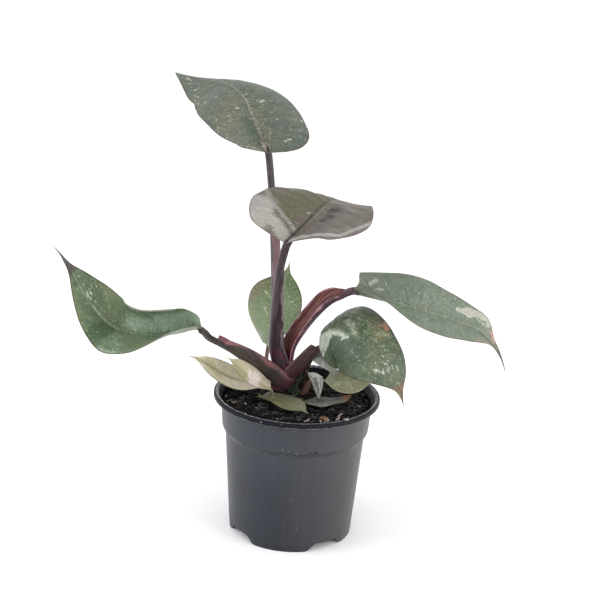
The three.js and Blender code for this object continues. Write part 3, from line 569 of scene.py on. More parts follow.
leaves["leaf_front"] = dict(
    base=[14, 3, 149], heading=[-52, -32, -24, -26], pitch=[40, -15, -43, -72], roll=[43, 33, 24, 17],
    fold=[[-1, 29], [-17, -8]], cup=[-47, -90], length=95, halfWidth=[34, 34], lobe=[0.04, 0.04], tip=9,
    veins=14, quilt=0.14, wave=1.2, dryFrom=78, joint=[2.5, 1, -1],
    pulls=[[-25, 52, 14, -1.3, 0, -0.3]],
    cream=[[1, 28, 1.2, 2, 1.3], [2, 26, 2.2, 12, 1.7], [2.5, 11, 4, 3, 3.4], [3, 2, 10, -2, 3],
        [5, 5, 9, 2, 3.6], [1.5, 30, 4.5, 27, 1.2], [4, 26, 6, 26, 1], [4.5, 13, 10, 9, 2.2],
        [10, 8, 12.5, 4, 1.8], [12, 2, 15.5, -2, 1.4], [0.5, 66, 1.2, 70, 0.8], [4.5, 68, 6, 64, 0.8],
        [6, 65, 8.5, 61, 0.9], [8, 64, 9, 60, 0.5], [-6.5, 68, -5.5, 72, 0.6], [-4, 66, -3, 69, 0.5],
        [-1.5, 64, -1, 68, 0.4], [3, 62, 3.5, 66, 0.4], [10.5, 47, 11.5, 48.5, 0.6],
        [-8, 55, -7.5, 58, 0.3], [-3, 56, -2.5, 59, 0.3], [-2.2, 83, -0.8, 78, 0.5]],
    pink=[[-28, 43, -24, 46, 2.6], [-23, 42, -20, 41, 1.2]],
    specks=[[-6, 58, 8, 66, 8, 0.8], [-12, 45, 12, 58, 10, 0.4]],
    flush=[[-24, 45, -16, 45, 5, 1.3], [-22, 38, -13, 46, 7, 0.8], [-3, 48, 8, 60, 8, 0.5],
        [-3, 72, 4, 74, 4, 0.5], [-18, 58, -6, 62, 8, 0.35]],
    pale=[[-22, 12, -17, 36, 14, 0.5], [-21, 51, -15, 45, 4, 0.7], [26, 40, 30, 6, 4, 0.4],
        [-10, 34, -9, 56, 4, 0.45], [7, 34, 12, 50, 3, 0.4], [-3, 34, 0, 54, 3, 0.35],
        [-10, 22, -3, 32, 4, 0.8], [20, 4, 26, 8, 6, 0.4]],
    dark=[[8, 42, 20, 12, 10, 1.3], [10, 26, 16, 14, 8, 1.5], [-1.2, 34, -1, 60, 0.8, 0.9],
        [-18, 72, -8, 64, 4, 0.7], [-5, 36, -5, 52, 2, 0.7], [4, 38, 5, 54, 1.5, 0.7],
        [14, 62, 20, 48, 4, 0.5]],
    look=dict(seed=27, green="#48563f", greenDeep="#3f5039", haze="#6f7862", flush="#6f6c50",
        dark="#384a38", pink="#b98a78", tip="#65503f", cream="#afb5a6", pale="#949985", rough=0.38,
        torn=0.5, mottle=0.5, streaks=0.18, strokes=0.8, fieldShow=0.85, dusting=0.6, ribShow=0.12))
leaves["leaf_back"] = dict(
    base=[-25.6, 54, 121], heading=[44, 49, 52, 74], pitch=[66, 72, 66, 61], roll=[-15, 3, 25, 43],
    fold=[[-10, 25], [25, -4]], cup=[-22, 4], length=66.5, halfWidth=[31, 28], lobe=[0, 0.01], tip=8,
    veins=11, quilt=0.1, wave=0.9,
    pulls=[[-28, 12, 11, -2.4, 0, 0], [-24, -1, 7, 1.5, 0, 1.5], [-26, 46, 13, -1.6, 0, 1.4],
        [14, 4, 10, 1.5, 0, -0.5]],
    cream=[[-11, 26.5, -7, 21.5, 0.9], [8, 44, 8.3, 45, 0.4], [-14, 38, -13.7, 39, 0.4],
        [-6, 40, -5.6, 42, 0.4], [-3, 50, -2.8, 51, 0.3], [12, 30, 12.4, 31, 0.4]],
    specks=[[-16, 46, 16, 42, 14, 1]],
    flush=[[-26, 34, -14, 54, 8, 1.2], [-26, 8, -20, 22, 5, 0.4], [20, 24, 24, 40, 4, 0.5]],
    pale=[[0, 2, 0, 50, 1, 0.4]],
    dark=[[-20, 2, 6, 2, 12, 0.7]],
    look=dict(seed=33, green="#65734e", greenDeep="#5c704a", haze="#7d8a68", flush="#716a52",
        dark="#566746", specks=0.9, rough=0.45, cream="#bcbf98", dusting=0.85, mottle=0.5))

for name, leaf in leaves.items():
    points, faces, layers = leafSheet(leaf, **grid)
    material = leafMaterial("waxy_leaf_" + name[5:], fullLook(leafDefaults, leaf["look"]))
    addPiece(name + "_blade", points, faces, material, "variegated_leaf", name, layers)
print("leaf blades made")


youngStalk = {
    "radius": 1.1, "taper": 0.35, "sides": 12, "steps": 30, "facing": [0.3, 1, 0.2], "drawnOut": 25,
    "shade": 0.7,
}
youngGrid = {"rows": 64, "columns": 16}
bladeThickness = 0.8  # what a stalk's end leaves for the blade over it
# stalk is the way that the thin stalk takes from the mix to the blade
young = {}
young["young_leaf_cream"] = dict(
    base=[-30, 18, 103.4], heading=[196, 190, 184, 182], pitch=[8, 22, 34, 6], roll=[-30, -42, -52, -45],
    fold=[[26, 2], [-8, 12]], cup=[16, -20], length=57, halfWidth=[13, 12], lobe=[-0.03, -0.03], tip=6,
    stalk=[[-24, 26, 84], [-25, 25, 97], [-28, 21, 101.4]], veins=9, quilt=0.06, wave=0.8,
    pulls=[[-11, 13, 9, 0, 0, -0.9], [-10, 30, 10, 1, 0, 0.4]],
    cream=[[5, 24, 6, 23, 0.6], [6, 29, 7, 28, 0.6]],
    flush=[[-3, 30, 2, 42, 4, 0.7], [6, 12, 9, 16, 4, 0.8]],
    pale=[[-8, 4, 8, 5, 8, 1], [-10, 18, -4, 12, 6, 0.7]],
    dark=[[-1.4, 6, -1.4, 50, 0.6, 0.9], [6, 8, 8, 50, 0.5, 0.4]],
    look=dict(seed=41, green="#e6ddb9", greenDeep="#eae1c8", haze="#f1ecd6", flush="#b3b185",
        pale="#dccfc2", cream="#efecdb", dark="#7d7a56", rib="#a5a378", vein="#d3cfae", margin="#56523f",
        under="#bcb591", specks=0.4, rough=0.5, grit=0.12, mottle=0.2, stalkColor="#a49a84"))
young["young_leaf_pale"] = dict(
    base=[-19.2, -6.5, 110], heading=[184, 188, 194, 200], pitch=[22, 36, 44, 30],
    roll=[-24, -38, -46, -50], fold=[[29, 0], [-13, 12]], cup=[20, -12], length=41, halfWidth=[12, 11],
    tip=4, stalk=[[-16, 6, 84], [-17, 2, 98], [-18.5, -2.5, 106]], veins=8, quilt=0.1, wave=0.6,
    cream=[[-7, 13, 3, 13.5, 3.6], [-2, 18, 4, 19, 1.6]],
    flush=[[-5, 22, -2, 36, 6, 1.1], [-8, 4, -2, 6, 3, 0.5]],
    pale=[[-8, 15, 4, 12, 6, 1], [0, 4, 5, 5, 4, 0.6]],
    dark=[[-0.8, 16, -1.2, 38, 0.6, 0.9]],
    look=dict(seed=47, green="#b9b094", greenDeep="#c4baa2", haze="#d3cab9", flush="#989871",
        pale="#cfc2b9", cream="#e0d2ce", dark="#8a7a5c", rib="#b7ae94", vein="#dad2bf", margin="#6c5f55",
        under="#a89f86", specks=0.4, rough=0.5, grit=0.15, mottle=0.22, stalkColor="#9a8f78"))
young["young_leaf_olive"] = dict(
    base=[-25, -1, 101.2], heading=[-20, -49, -55, -73], pitch=[2, 4, 6, 10], roll=[-8, -6, 10, -5],
    fold=[[4, 19], [2, 2]], cup=[0, 14], length=55, halfWidth=[12, 14], tip=7,
    stalk=[[-21, 8, 84], [-24, 6, 96.5], [-27, 2, 100]], veins=9, quilt=0.1, wave=0.7,
    cream=[[0, 12, 0.4, 12.6, 0.3], [-3, 36, -2.7, 36.6, 0.3]],
    flush=[[3, 10, 8, 24, 4, 0.9]],
    pale=[[-8, 10, -5, 34, 1.6, 0.5]],
    dark=[[-5, 12, -4, 40, 3, 0.3]],
    look=dict(seed=53, green="#6e7057", greenDeep="#72735a", haze="#84856d", flush="#7a784f",
        pale="#8d8e72", dark="#474b33", rib="#777a58", vein="#74775a", margin="#4b4a38", under="#686b4e",
        specks=0.6, stalkColor="#7b7551"))
young["young_leaf_flat"] = dict(
    base=[5, -10, 101], heading=[-4, 14, 10, 17], pitch=[0, 4, 8, 40], roll=[0, 9, 0, 20],
    fold=[[0, 10], [19, 0]], cup=[-12, 8], length=36, halfWidth=[9, 10], lobe=[0, -0.03], tip=0,
    stalk=[[-3, -3, 84], [-2, -5, 98], [2, -6, 101]], veins=7, quilt=0.3, wave=3, dryFrom=28,
    pale=[[2, 3, 7, 14, 3, 1], [-4, 4, -2, 10, 2, 0.6]],
    dark=[[-4, 8, -4, 26, 4, 1], [5, 17, 4, 26, 3, 0.9]],
    look=dict(seed=59, green="#4f5543", greenDeep="#474d41", haze="#6a6e61", pale="#868a80", dark="#3b4036",
        tip="#8a6650", rib="#6f745c", margin="#3c3d33", under="#666a58", specks=0.4, rough=0.45,
        stalkColor="#59573f"))
young["young_leaf_folded"] = dict(
    base=[7, 2, 119.3], heading=[-30, -30, -27, -20], pitch=[-55, -60, -64, -66], roll=[60, 60, 60, 60],
    fold=[[10, 20], [75, 80]], cup=[20, 20], length=31, halfWidth=[9.5, 4.5], lobe=[-0.3, -0.3], tip=12,
    pulls=[[8, 6, 6, 1.6, 0, 0.4]],
    stalk=[[10, 16, 84], [10, 14, 100], [8, 9, 113], [6, 4.5, 120]], veins=6, quilt=0.06, wave=0.3,
    pale=[[0, 5, 0, 14, 1.2, 1], [-6, 6, -3, 16, 0.8, 1], [-2, 4, -8, 5, 1, 0.8]],
    dark=[[0, 14, 0, 22, 4, 0.5], [-3, 5, -3, 14, 1.2, 0.9], [-7, 5, -5, 12, 0.8, 0.7]],
    look=dict(seed=63, green="#a3a29c", greenDeep="#999892", haze="#b9b7b1", pale="#d9d7d2", dark="#6f6e68",
        rib="#b9b7b0", vein="#cfccc6", margin="#d0cec8", under="#a9a79f", specks=0.2, rough=0.5,
        marginShow=0.5, stalkColor="#3b3228"))
young["young_leaf_under"] = dict(
    base=[20, 5, 114], heading=[-17, -10, 1, 15], pitch=[-8, 6, 8, -16], roll=[13, 35, 48, 50],
    fold=[[-5, 5], [28, -4]], cup=[0, 20], length=36, halfWidth=[13, 14], tip=2,
    stalk=[[14, 16, 84], [14, 15, 100], [16, 10, 110]], veins=7, quilt=0.14, wave=0.8,
    cream=[[2, 13, 4, 9, 0.35], [0, 14, 3, 18, 0.3]],
    flush=[[4, 6, 10, 14, 5, 0.8]],
    pale=[[0, 10, 8, 8, 2, 0.9], [-4, 14, 6, 20, 1.6, 0.8], [-6, 20, 4, 26, 1.4, 0.6]],
    look=dict(seed=67, green="#8a8a6c", greenDeep="#838468", haze="#9c9d84", flush="#7f7d55",
        pale="#a3a381", rib="#9a9b78", vein="#96976f", margin="#a5a588", marginShow=0.8, under="#77785a",
        specks=0.5, rough=0.44, stalkColor="#6a6447"))
young["young_leaf_grey"] = dict(
    base=[13, 12, 131], heading=[-20, -20, -20, -20], pitch=[-10, -40, -60, -70], roll=[40, 40, 30, 20],
    fold=[[20, 20], [20, 20]], length=22, halfWidth=[9, 9], tip=2,
    stalk=[[4, 22, 84], [4, 20, 102], [6, 16, 116], [10, 13, 127]], veins=6, quilt=0.08, wave=0.4,
    pale=[[4, 4, 6, 12, 3, 0.7]],
    look=dict(seed=71, green="#969a92", greenDeep="#8c9088", haze="#a8aba4", pale="#c3c5be", rib="#8c9087",
        vein="#9c9f97", margin="#b4b6ae", under="#84887d", specks=0.2, rough=0.5, stalkColor="#5b4a3e"))
young["young_leaf_dark"] = dict(
    base=[-2, 2, 103], heading=[60, 55, 50, 50], pitch=[62, 60, 60, 60], roll=[-35, -35, -30, -30],
    fold=[[20, 20], [20, 20]], length=17, halfWidth=[6.5, 6], tip=2,
    stalk=[[-5, 0, 84], [-5, 0, 96], [-4, 1, 100]], veins=6, quilt=0.06, wave=0.3,
    look=dict(seed=73, green="#1a2115", greenDeep="#161c11", haze="#29321f", rib="#37432b", shine=0.2,
        vein="#2c3823", margin="#27301f", under="#232b1b", specks=0.3, rough=0.4, stalkColor="#3d4a2f"))


def underBlade(leaf, radius):
    # where a stalk comes up under the blade's base and where it ends along the midrib
    point, along, across, up = (v[0] for v in midribFrames(leaf))
    point, drop = point + leaf.get("joint", [0, 0, 0]), up * leaf.get("drop", 1)
    onward = point + along * leaf.get("reach", 5)
    return [point - drop * (bladeThickness + radius), onward - drop * (bladeThickness + radius * 0.5)]


# living leaf stalk: smooth waxy skin, drawn out in streaks along its length, blotched wine red to green
def stalkMaterial(name, look):
    material, tree = newMaterial(name)
    place = addNode(tree, "Attribute", output=1, attribute_name="stalkPlace")
    side = addNode(tree, "Attribute", output=1, attribute_name="stalkSide")
    wing, inside, t = addNode(tree, "SeparateXYZ", [side]).node.outputs[:3]
    drawn, lines = (
        addNode(tree, "Mapping", {"Vector": place, "Location": (look["seed"], y, 0), "Scale": (1, scale, 1)})
        for scale, y in ((0.07, 0), (0.02, 3)))
    streaks, patches, fine, lines = (
        addNode(tree, "TexNoise", {"Vector": vector, "Scale": scale, "Detail": detail, "Roughness": rough})
        for vector, scale, detail, rough in (
            (drawn, 1.1, 4.0, 0.65), (place, 0.09, 3.0, 0.5), (place, 1.6, 3.0, 0.5), (lines, 1.0, 2.0, 0.5)))

    # streaked skin outside and in the channel, a foot and a head of other colours, the wings' rims and dots
    outer, inner = (layOver(tree, look[key], look[key + "Streak"], (streaks, 0.38, 0.64))
                    for key in ("outer", "inner"))
    colour = addNode(tree, "Mix", {0: inside, 6: outer, 7: inner}, 2, data_type="RGBA")
    wobble = addNode(tree, "MapRange", [patches, 0.3, 0.7, -0.16, 0.16])
    low, rim = (addNode(tree, "Math", [value, wobble], operation="ADD") for value in (t, wing))
    rimFrom, footEnd = look["rimFrom"], look["footEnd"]
    for tint, mask in (
            ("foot", (low, footEnd * 0.4, footEnd, 0.9, 0.0)), ("head", (t, look["headFrom"], 1.0, 0.0, 0.8)),
            ("rim", (rim, rimFrom, rimFrom + 0.15, 0.0, look["rimShow"]))):
        colour = layOver(tree, colour, look[tint], mask)
    colour = dotsOver(tree, colour, look["dot"], place, 0.9, look["dots"], (0.3, 0.0, 0.533), 0.6)
    shade = addNode(tree, "MapRange", [lines, 0.3, 0.7, 1 - look["streaks"], 1 + look["streaks"]])
    colour = addNode(tree, "VectorMath", [colour, shade], operation="MULTIPLY")
    height = addNode(tree, "Math", [streaks, 2.0, fine], operation="MULTIPLY_ADD")
    rough = (look["rough"] - 0.06, look["rough"] + 0.06)
    finishMaterial(tree, colour, height, (0.5, 0.0004), fine, rough, 0.25)
    return material


stalkDefaults = {
    "outer": "#33262a", "outerStreak": "#4b3a3c", "inner": "#4d3435", "innerStreak": "#6a4a48",
    "rim": "#8a4a52", "foot": "#5c2236", "head": "#33262a", "dot": "#a87f86", "streaks": 0.25, "rimShow": 0.6,
    "footEnd": 0.2, "headFrom": 0.9, "dots": 0.12, "rough": 0.38, "rimFrom": 0.78,
}

for name, leaf in young.items():
    look = fullLook(leafDefaults, leaf["look"])
    points, faces, layers = leafSheet(leaf, **youngGrid)
    material = leafMaterial("young_" + name[11:], look)
    addPiece(name + "_blade", points, faces, material, "young_leaf", name, layers)

    # a thin round tube from the mix to the blade's base
    rows, sides = youngStalk["steps"], youngStalk["sides"]
    t = np.linspace(0, 1, rows)
    radius = youngStalk["radius"]
    section, angle = roundSection(radius * (1 - youngStalk["taper"] * smooth(t, 0.85, 1)), sides)
    path = leaf["stalk"] + underBlade(leaf, radius)
    points = sweepRings(*sweepFrames(path, t, (youngStalk["facing"],) * 2), section)
    one, t = np.ones((rows, sides)), t[:, None]
    layers = {
        "stalkPlace": np.stack([angle * one, t * youngStalk["drawnOut"] * one, look["seed"] * one], -1),
        "stalkSide": np.stack([0 * one, 0 * one, t * one], -1),
    }
    tint = look["stalkColor"]
    deep = [v * youngStalk["shade"] for v in tint[:3]] + [1]
    tints = {"outer": tint, "outerStreak": deep, "head": tint, "foot": deep}
    stalk = fullLook(stalkDefaults, {"seed": look["seed"], "dots": 0, "rough": 0.45, **tints})
    material = stalkMaterial("young_stalk_" + name[11:], stalk)
    addPiece(name + "_stalk", points, tubeFaces(rows, sides), material, "young_leaf", None, layers)
print("young leaves made")


# leaf stalks, in mm: the path of the keel, the radius of the stalk, of the sheath's base and of its top, and
# the thickness of the wings' edge and of the wall. close and end say where along the path the sheath starts
# to close and where it ends, spread and curl how far its wings reach round in degrees at its base and top,
# and faces the ways that the channel faces at both ends of the path
petioles = {}
petioles["petiole_back"] = dict(
    leaf="leaf_back",
    path=[[-22, 38, 84], [-24, 41, 99], [-24.5, 47, 111]],
    stalk=1.5, base=2.2, top=2, spread=90, edge=0.8, wall=1.8, close=0.2, end=0.3,
    faces=[[0, -1, 0], [0, -1, 0.3]],
    look=dict(seed=1, outer="#6e5350", outerStreak="#8b7570", inner="#7b5552", innerStreak="#8d6c66",
        foot="#5b3a3a", head="#6c6c50", headFrom=0.6, dots=0))
petioles["petiole_top"] = dict(
    leaf="leaf_top",
    path=[[-10, 26, 112], [-15.4, 27, 126], [-19.6, 28, 166], [-22.8, 31, 209], [-26.4, 34, 245]],
    stalk=2.35, base=5.6, top=4.8, spread=85, edge=0.9, wall=2.4, close=0.5, end=0.62, pointed=1,
    faces=[[0.87, -0.48, 0], [0.87, -0.45, 0.2]],
    look=dict(seed=2, outer="#3c363a", outerStreak="#565053", inner="#6b5054", innerStreak="#8f7477",
        rim="#98787c", foot="#4d2533", head="#3a3136", headFrom=0.5, dots=0.35, dot="#ab8a8c", streaks=0.3))
petioles["petiole_upper"] = dict(
    leaf="leaf_upper",
    path=[[-11.5, 16, 108], [-18.7, 15, 131], [-19.3, 9, 152], [-18.8, 2, 173], [-17, -6, 197]],
    stalk=2.6, base=7.8, top=4.4, spread=95, edge=1.1, wall=2.4, close=0.5, end=0.78, pointed=1,
    faces=[[0.7, 0.7, 0], [0.95, 0.27, 0]],
    look=dict(seed=3, outer="#30262a", outerStreak="#463a3f", inner="#6a5a5d", innerStreak="#8c7d80",
        rim="#94868a", foot="#57303c", footEnd=0.17, head="#3a3635", dots=0.2, dot="#8a7a7e", streaks=0.35,
        rough=0.3))
petioles["petiole_right"] = dict(
    leaf="leaf_right",
    path=[[-8, 22, 112], [-6, 21, 131.6], [1.6, 19.5, 147.3], [11.8, 17.5, 162.2], [20.4, 15.5, 171.6],
        [28, 13.5, 176]],
    stalk=2.5, base=7.4, top=7.2, spread=75, curl=112, edge=1.1, wall=1.8, close=0.5, end=0.765, pointed=1,
    faces=[[-0.62, -0.52, 0.35], [-0.85, -0.22, 0.75]],
    look=dict(seed=4, outer="#40303a", outerStreak="#6e4d57", inner="#5e3a39", innerStreak="#8e605a",
        rim="#b48d93", rimFrom=0.93, rimShow=0.95, foot="#742b46", footEnd=0.24, head="#4c4c4b",
        headFrom=0.74, dots=0.1, streaks=0.35, rough=0.33))
petioles["petiole_left"] = dict(
    leaf="leaf_left",
    path=[[-9, 16, 99.5], [-21.5, 13, 109.5], [-33.4, 4.5, 122.5], [-45, -6, 135], [-55.8, -16, 144.8],
        [-63.3, -23.2, 151.2]],
    stalk=2.4, base=12.5, top=6.4, spread=85, curl=96, edge=1, wall=2, close=0.552, end=0.571,
    faces=[[-0.2, 0.3, 1], [0.15, -0.35, 1]],
    look=dict(seed=5, outer="#393330", outerStreak="#4e4642", inner="#6a3d40", innerStreak="#8f6266",
        rim="#875d61", rimShow=0.85, rimFrom=0.8, foot="#5a3840", footEnd=0.15, head="#47423f",
        headFrom=0.75))
petioles["petiole_front"] = dict(
    leaf="leaf_front",
    path=[[-10, 15, 97], [-4, 12, 110], [4, 9, 123], [13.6, 6.3, 136.8], [18, 5.5, 137.5]],
    stalk=2.2, base=9, top=6.4, spread=85, edge=1, wall=2.2, close=0.49, end=0.503,
    faces=[[-0.3, 0.8, 0.6], [-0.6, 0.2, 0.6]],
    look=dict(seed=6, outer="#3b2d2c", outerStreak="#513e3c", inner="#4a322f", innerStreak="#664b47",
        rim="#85666a", rimFrom=0.93, foot="#58303f", footEnd=0.33, head="#3b2f2c"))
petioles["sheath_base"] = dict(
    leaf=None,
    path=[[3, 11, 84], [4.5, 9, 97], [8.5, 8, 107], [12, 8, 114]],
    stalk=0.6, base=4.2, top=1.8, spread=80, edge=0.8, wall=1.2, close=0.8, end=1,
    faces=[[-0.3, 1, 0], [-0.3, 1, 0.3]],
    look=dict(seed=7, outer="#6c4c43", outerStreak="#8c7064", inner="#67423a", innerStreak="#835e53",
        rim="#9c8071", foot="#44362a", footEnd=0.45, head="#85614f", dots=0.05))
petioleGrid = {"outer": 27, "inner": 21, "along": 80, "nearEnd": 9, "nearEndFrom": 0.05}


def petioleRings(petiole, t):
    # a crescent: an outer arc from wing to wing, a bead on each wing and an inner arc that leaves the wall
    # thick at the keel and thin at the wings; towards its end it closes in an ellipse to a round stalk
    end, stalk = petiole["end"], petiole["stalk"]
    closing = np.clip((t - petiole["close"]) / max(end - petiole["close"], 0.001), 0, 1)
    slim = 1 - (1 - closing ** 1.4) ** 0.714 if "pointed" in petiole else 1 - np.sqrt(1 - closing ** 2)
    if not petiole["leaf"]:
        slim = 0.6 * closing
    k = np.clip(t / end, 0, 1)
    radius = (petiole["base"] * (1 - k) + petiole["top"] * k) * (1 - slim) + stalk * slim
    if petiole["leaf"]:
        radius = radius * (1 - 0.55 * smooth(t, 0.94, 1))
    spread = petiole["spread"] * (1 - k) + petiole.get("curl", petiole["spread"]) * k
    spread = np.radians(spread * (1 - slim) + 100 * slim)
    radius, spread, slim = radius[:, None], spread[:, None], slim[:, None]
    outerAt = np.linspace(-1, 1, petioleGrid["outer"])
    innerAt = np.linspace(0.97, -0.97, petioleGrid["inner"])

    def arc(at, wall=0.0):
        # points round the channel's middle, inside the keel's arc by a wall
        return np.stack([(radius - wall) * np.sin(spread * at),
                         radius - (radius - wall) * np.cos(spread * at) - stalk], -1)

    edge = petiole["edge"] * (1 - slim) + 0.5 * stalk * slim
    wall = np.minimum(petiole["wall"], 0.6 * radius)
    wall = edge + (wall - edge) * (1 - innerAt ** 2)
    outer, channel, filled = arc(outerAt), arc(innerAt, wall), arc(innerAt)
    depth = radius * (1 - np.cos(spread))
    filled[..., 1] = (filled[..., 1] + stalk) * (1 + (edge - 2 * stalk) / depth) + stalk
    fill = smooth(slim, 0.1, 1)[..., None]
    beads = []
    for way in (1, -1):
        tip, turn = outer[:, -1 if way > 0 else 0], spread * way
        inward = np.concatenate([-np.sin(turn), np.cos(turn)], -1)
        onward = np.concatenate([np.cos(turn), np.sin(turn)], -1) * way
        beads.append((tip + inward * edge * 0.5 + onward * edge * 0.4)[:, None])
    ring = np.concatenate([outer, beads[0], channel * (1 - fill) + filled * fill, beads[1]], 1)
    opened = 1 - smooth(slim, 0.5, 1)
    wing = np.concatenate([np.abs(outerAt), [1.08], np.abs(innerAt), [1.08]]) * (0.2 + 0.8 * opened)
    inside = np.concatenate([0 * outerAt, [0.5], 1 + 0 * innerAt, [0.5]]) * opened
    turn = np.concatenate([outerAt, [1.06], innerAt, [-1.06]]) * radius * 1.4
    return ring, wing, inside, turn


for name, petiole in petioles.items():
    nearEnd = petiole["end"] - petioleGrid["nearEndFrom"] * np.linspace(0, 1, petioleGrid["nearEnd"]) ** 2
    t = np.unique(np.concatenate([np.linspace(0, 1, petioleGrid["along"]), nearEnd]))
    ends = underBlade(leaves[petiole["leaf"]], petiole["stalk"]) if petiole["leaf"] else []
    path, across, up = sweepFrames(petiole["path"] + ends, t, petiole["faces"])
    ring, wing, inside, turn = petioleRings(petiole, t)
    points = sweepRings(path, across, up, ring)
    rows, sides = points.shape[:2]
    one = np.ones((rows, sides))
    run = np.concatenate([[0], np.cumsum(np.linalg.norm(np.diff(path, axis=0), axis=1))])[:, None]
    look = fullLook(stalkDefaults, petiole["look"])
    layers = {
        "stalkPlace": np.stack([turn, run * one, inside * 9 + look["seed"]], -1),
        "stalkSide": np.stack([wing, inside, t[:, None] * one], -1),
    }
    material = stalkMaterial("leaf_stalk_" + name, look)
    addPiece(name + "_sheathed", points, tubeFaces(rows, sides), material, "stalk", name, layers)
print("leaf stalks made")


def grainShape(detail):
    # an icosahedron, its faces cut in four for each level of detail, on the unit ball
    g = (1 + 5 ** 0.5) / 2
    points = unit(np.array([
        [-1, g, 0], [1, g, 0], [-1, -g, 0], [1, -g, 0], [0, -1, g], [0, 1, g], [0, -1, -g], [0, 1, -g],
        [g, 0, -1], [g, 0, 1], [-g, 0, -1], [-g, 0, 1]], float))
    faces = np.array([
        [0, 11, 5], [0, 5, 1], [0, 1, 7], [0, 7, 10], [0, 10, 11], [1, 5, 9], [5, 11, 4], [11, 10, 2],
        [10, 7, 6], [7, 1, 8], [3, 9, 4], [3, 4, 2], [3, 2, 6], [3, 6, 8], [3, 8, 9], [4, 9, 5], [2, 4, 11],
        [6, 2, 10], [8, 6, 7], [9, 8, 1]])
    for _ in range(detail):
        corners = points[faces]
        middles = unit((corners + np.roll(corners, -1, 1)) / 2)
        count = len(faces)
        points = np.concatenate([corners.reshape(-1, 3), middles.reshape(-1, 3)])
        a = np.arange(count * 3).reshape(count, 3)
        m = a + count * 3
        faces = np.concatenate([np.stack([a[:, k], m[:, k], m[:, k - 1]], -1) for k in range(3)] + [m])
        points, places = np.unique(points.round(6), axis=0, return_inverse=True)
        faces = places.reshape(-1)[faces]
    return points, faces


# pot: lathed, with feet, a collar and a rolled lip. body and collar are radii and levels of its outside, and
# what is above lipFrom, or faces inward above liningFrom, has the lip's darker look, on the lining as painted
# shade
pot = {
    "height": 105, "rimRadius": 60, "lipInner": 57.2, "lipHeight": 3.3, "wall": 1.2, "foot": 44.9, "disc": 31,
    "body": [[45.8, 12], [48.2, 44], [50.6, 76]], "collar": [[53.1, 80], [53.8, 90], [54.5, 100.3]],
    "trayInner": 35, "trayHeight": 6.4, "notch": 5.6, "feet": 4, "footAngle": -9, "footFlat": 24,
    "footRamp": 12, "drains": 8, "drainRadius": 3.5, "drainFrom": 2.5, "drainTo": 11.5, "segments": 180,
    "drainSegments": 32, "lipFrom": 101.2, "liningFrom": 90,
    # the tones: ground, clouds, painted light towards the collar, flow streaks, painted light on the right
    # side
    "tones": ["#1f222b", "#252831", "#363941", "#3f4249", "#55534f"],
    "lipTones": ["#0f1015", "#14151b", "#18191f", "#222329", "#202022"],
}


def roundedProfile(corners, steps=5):
    # a profile whose corners are arcs: each corner gives r, z and how far its arc reaches along both sides
    corners = [np.array(c, float) for c in corners]
    points = []
    for k, (*place, reach) in enumerate(corners):
        place = np.array(place)
        if k in (0, len(corners) - 1) or reach == 0:
            points.append(place)
            continue
        a, b = (place + unit(corners[beside][:2] - place) * reach for beside in (k - 1, k + 1))
        for w in np.linspace(0, 1, steps):
            points.append(a * (1 - w) ** 2 + place * 2 * w * (1 - w) + b * w ** 2)
    return np.array(points)


def lathed(profile, segments):
    # the profile turned about the Z axis, with a single point at each end that lies on the axis
    rings = profile[1:-1]
    section, angle = roundSection(rings[:, 0], segments)
    body = np.concatenate([section, (rings[:, 1:] + 0 * angle)[..., None]], -1).reshape(-1, 3)
    points = np.concatenate([[[0, 0, profile[0][1]]], body, [[0, 0, profile[-1][1]]]])
    faces = (gridFaces(len(rings), segments, ring=True) + 1).tolist()
    k = np.arange(segments)
    follow = (k + 1) % segments
    start = 1 + (len(rings) - 1) * segments
    faces += np.stack([0 * k, follow + 1, k + 1], -1).tolist()
    faces += np.stack([0 * k + len(points) - 1, start + k, start + follow], -1).tolist()
    return points, faces
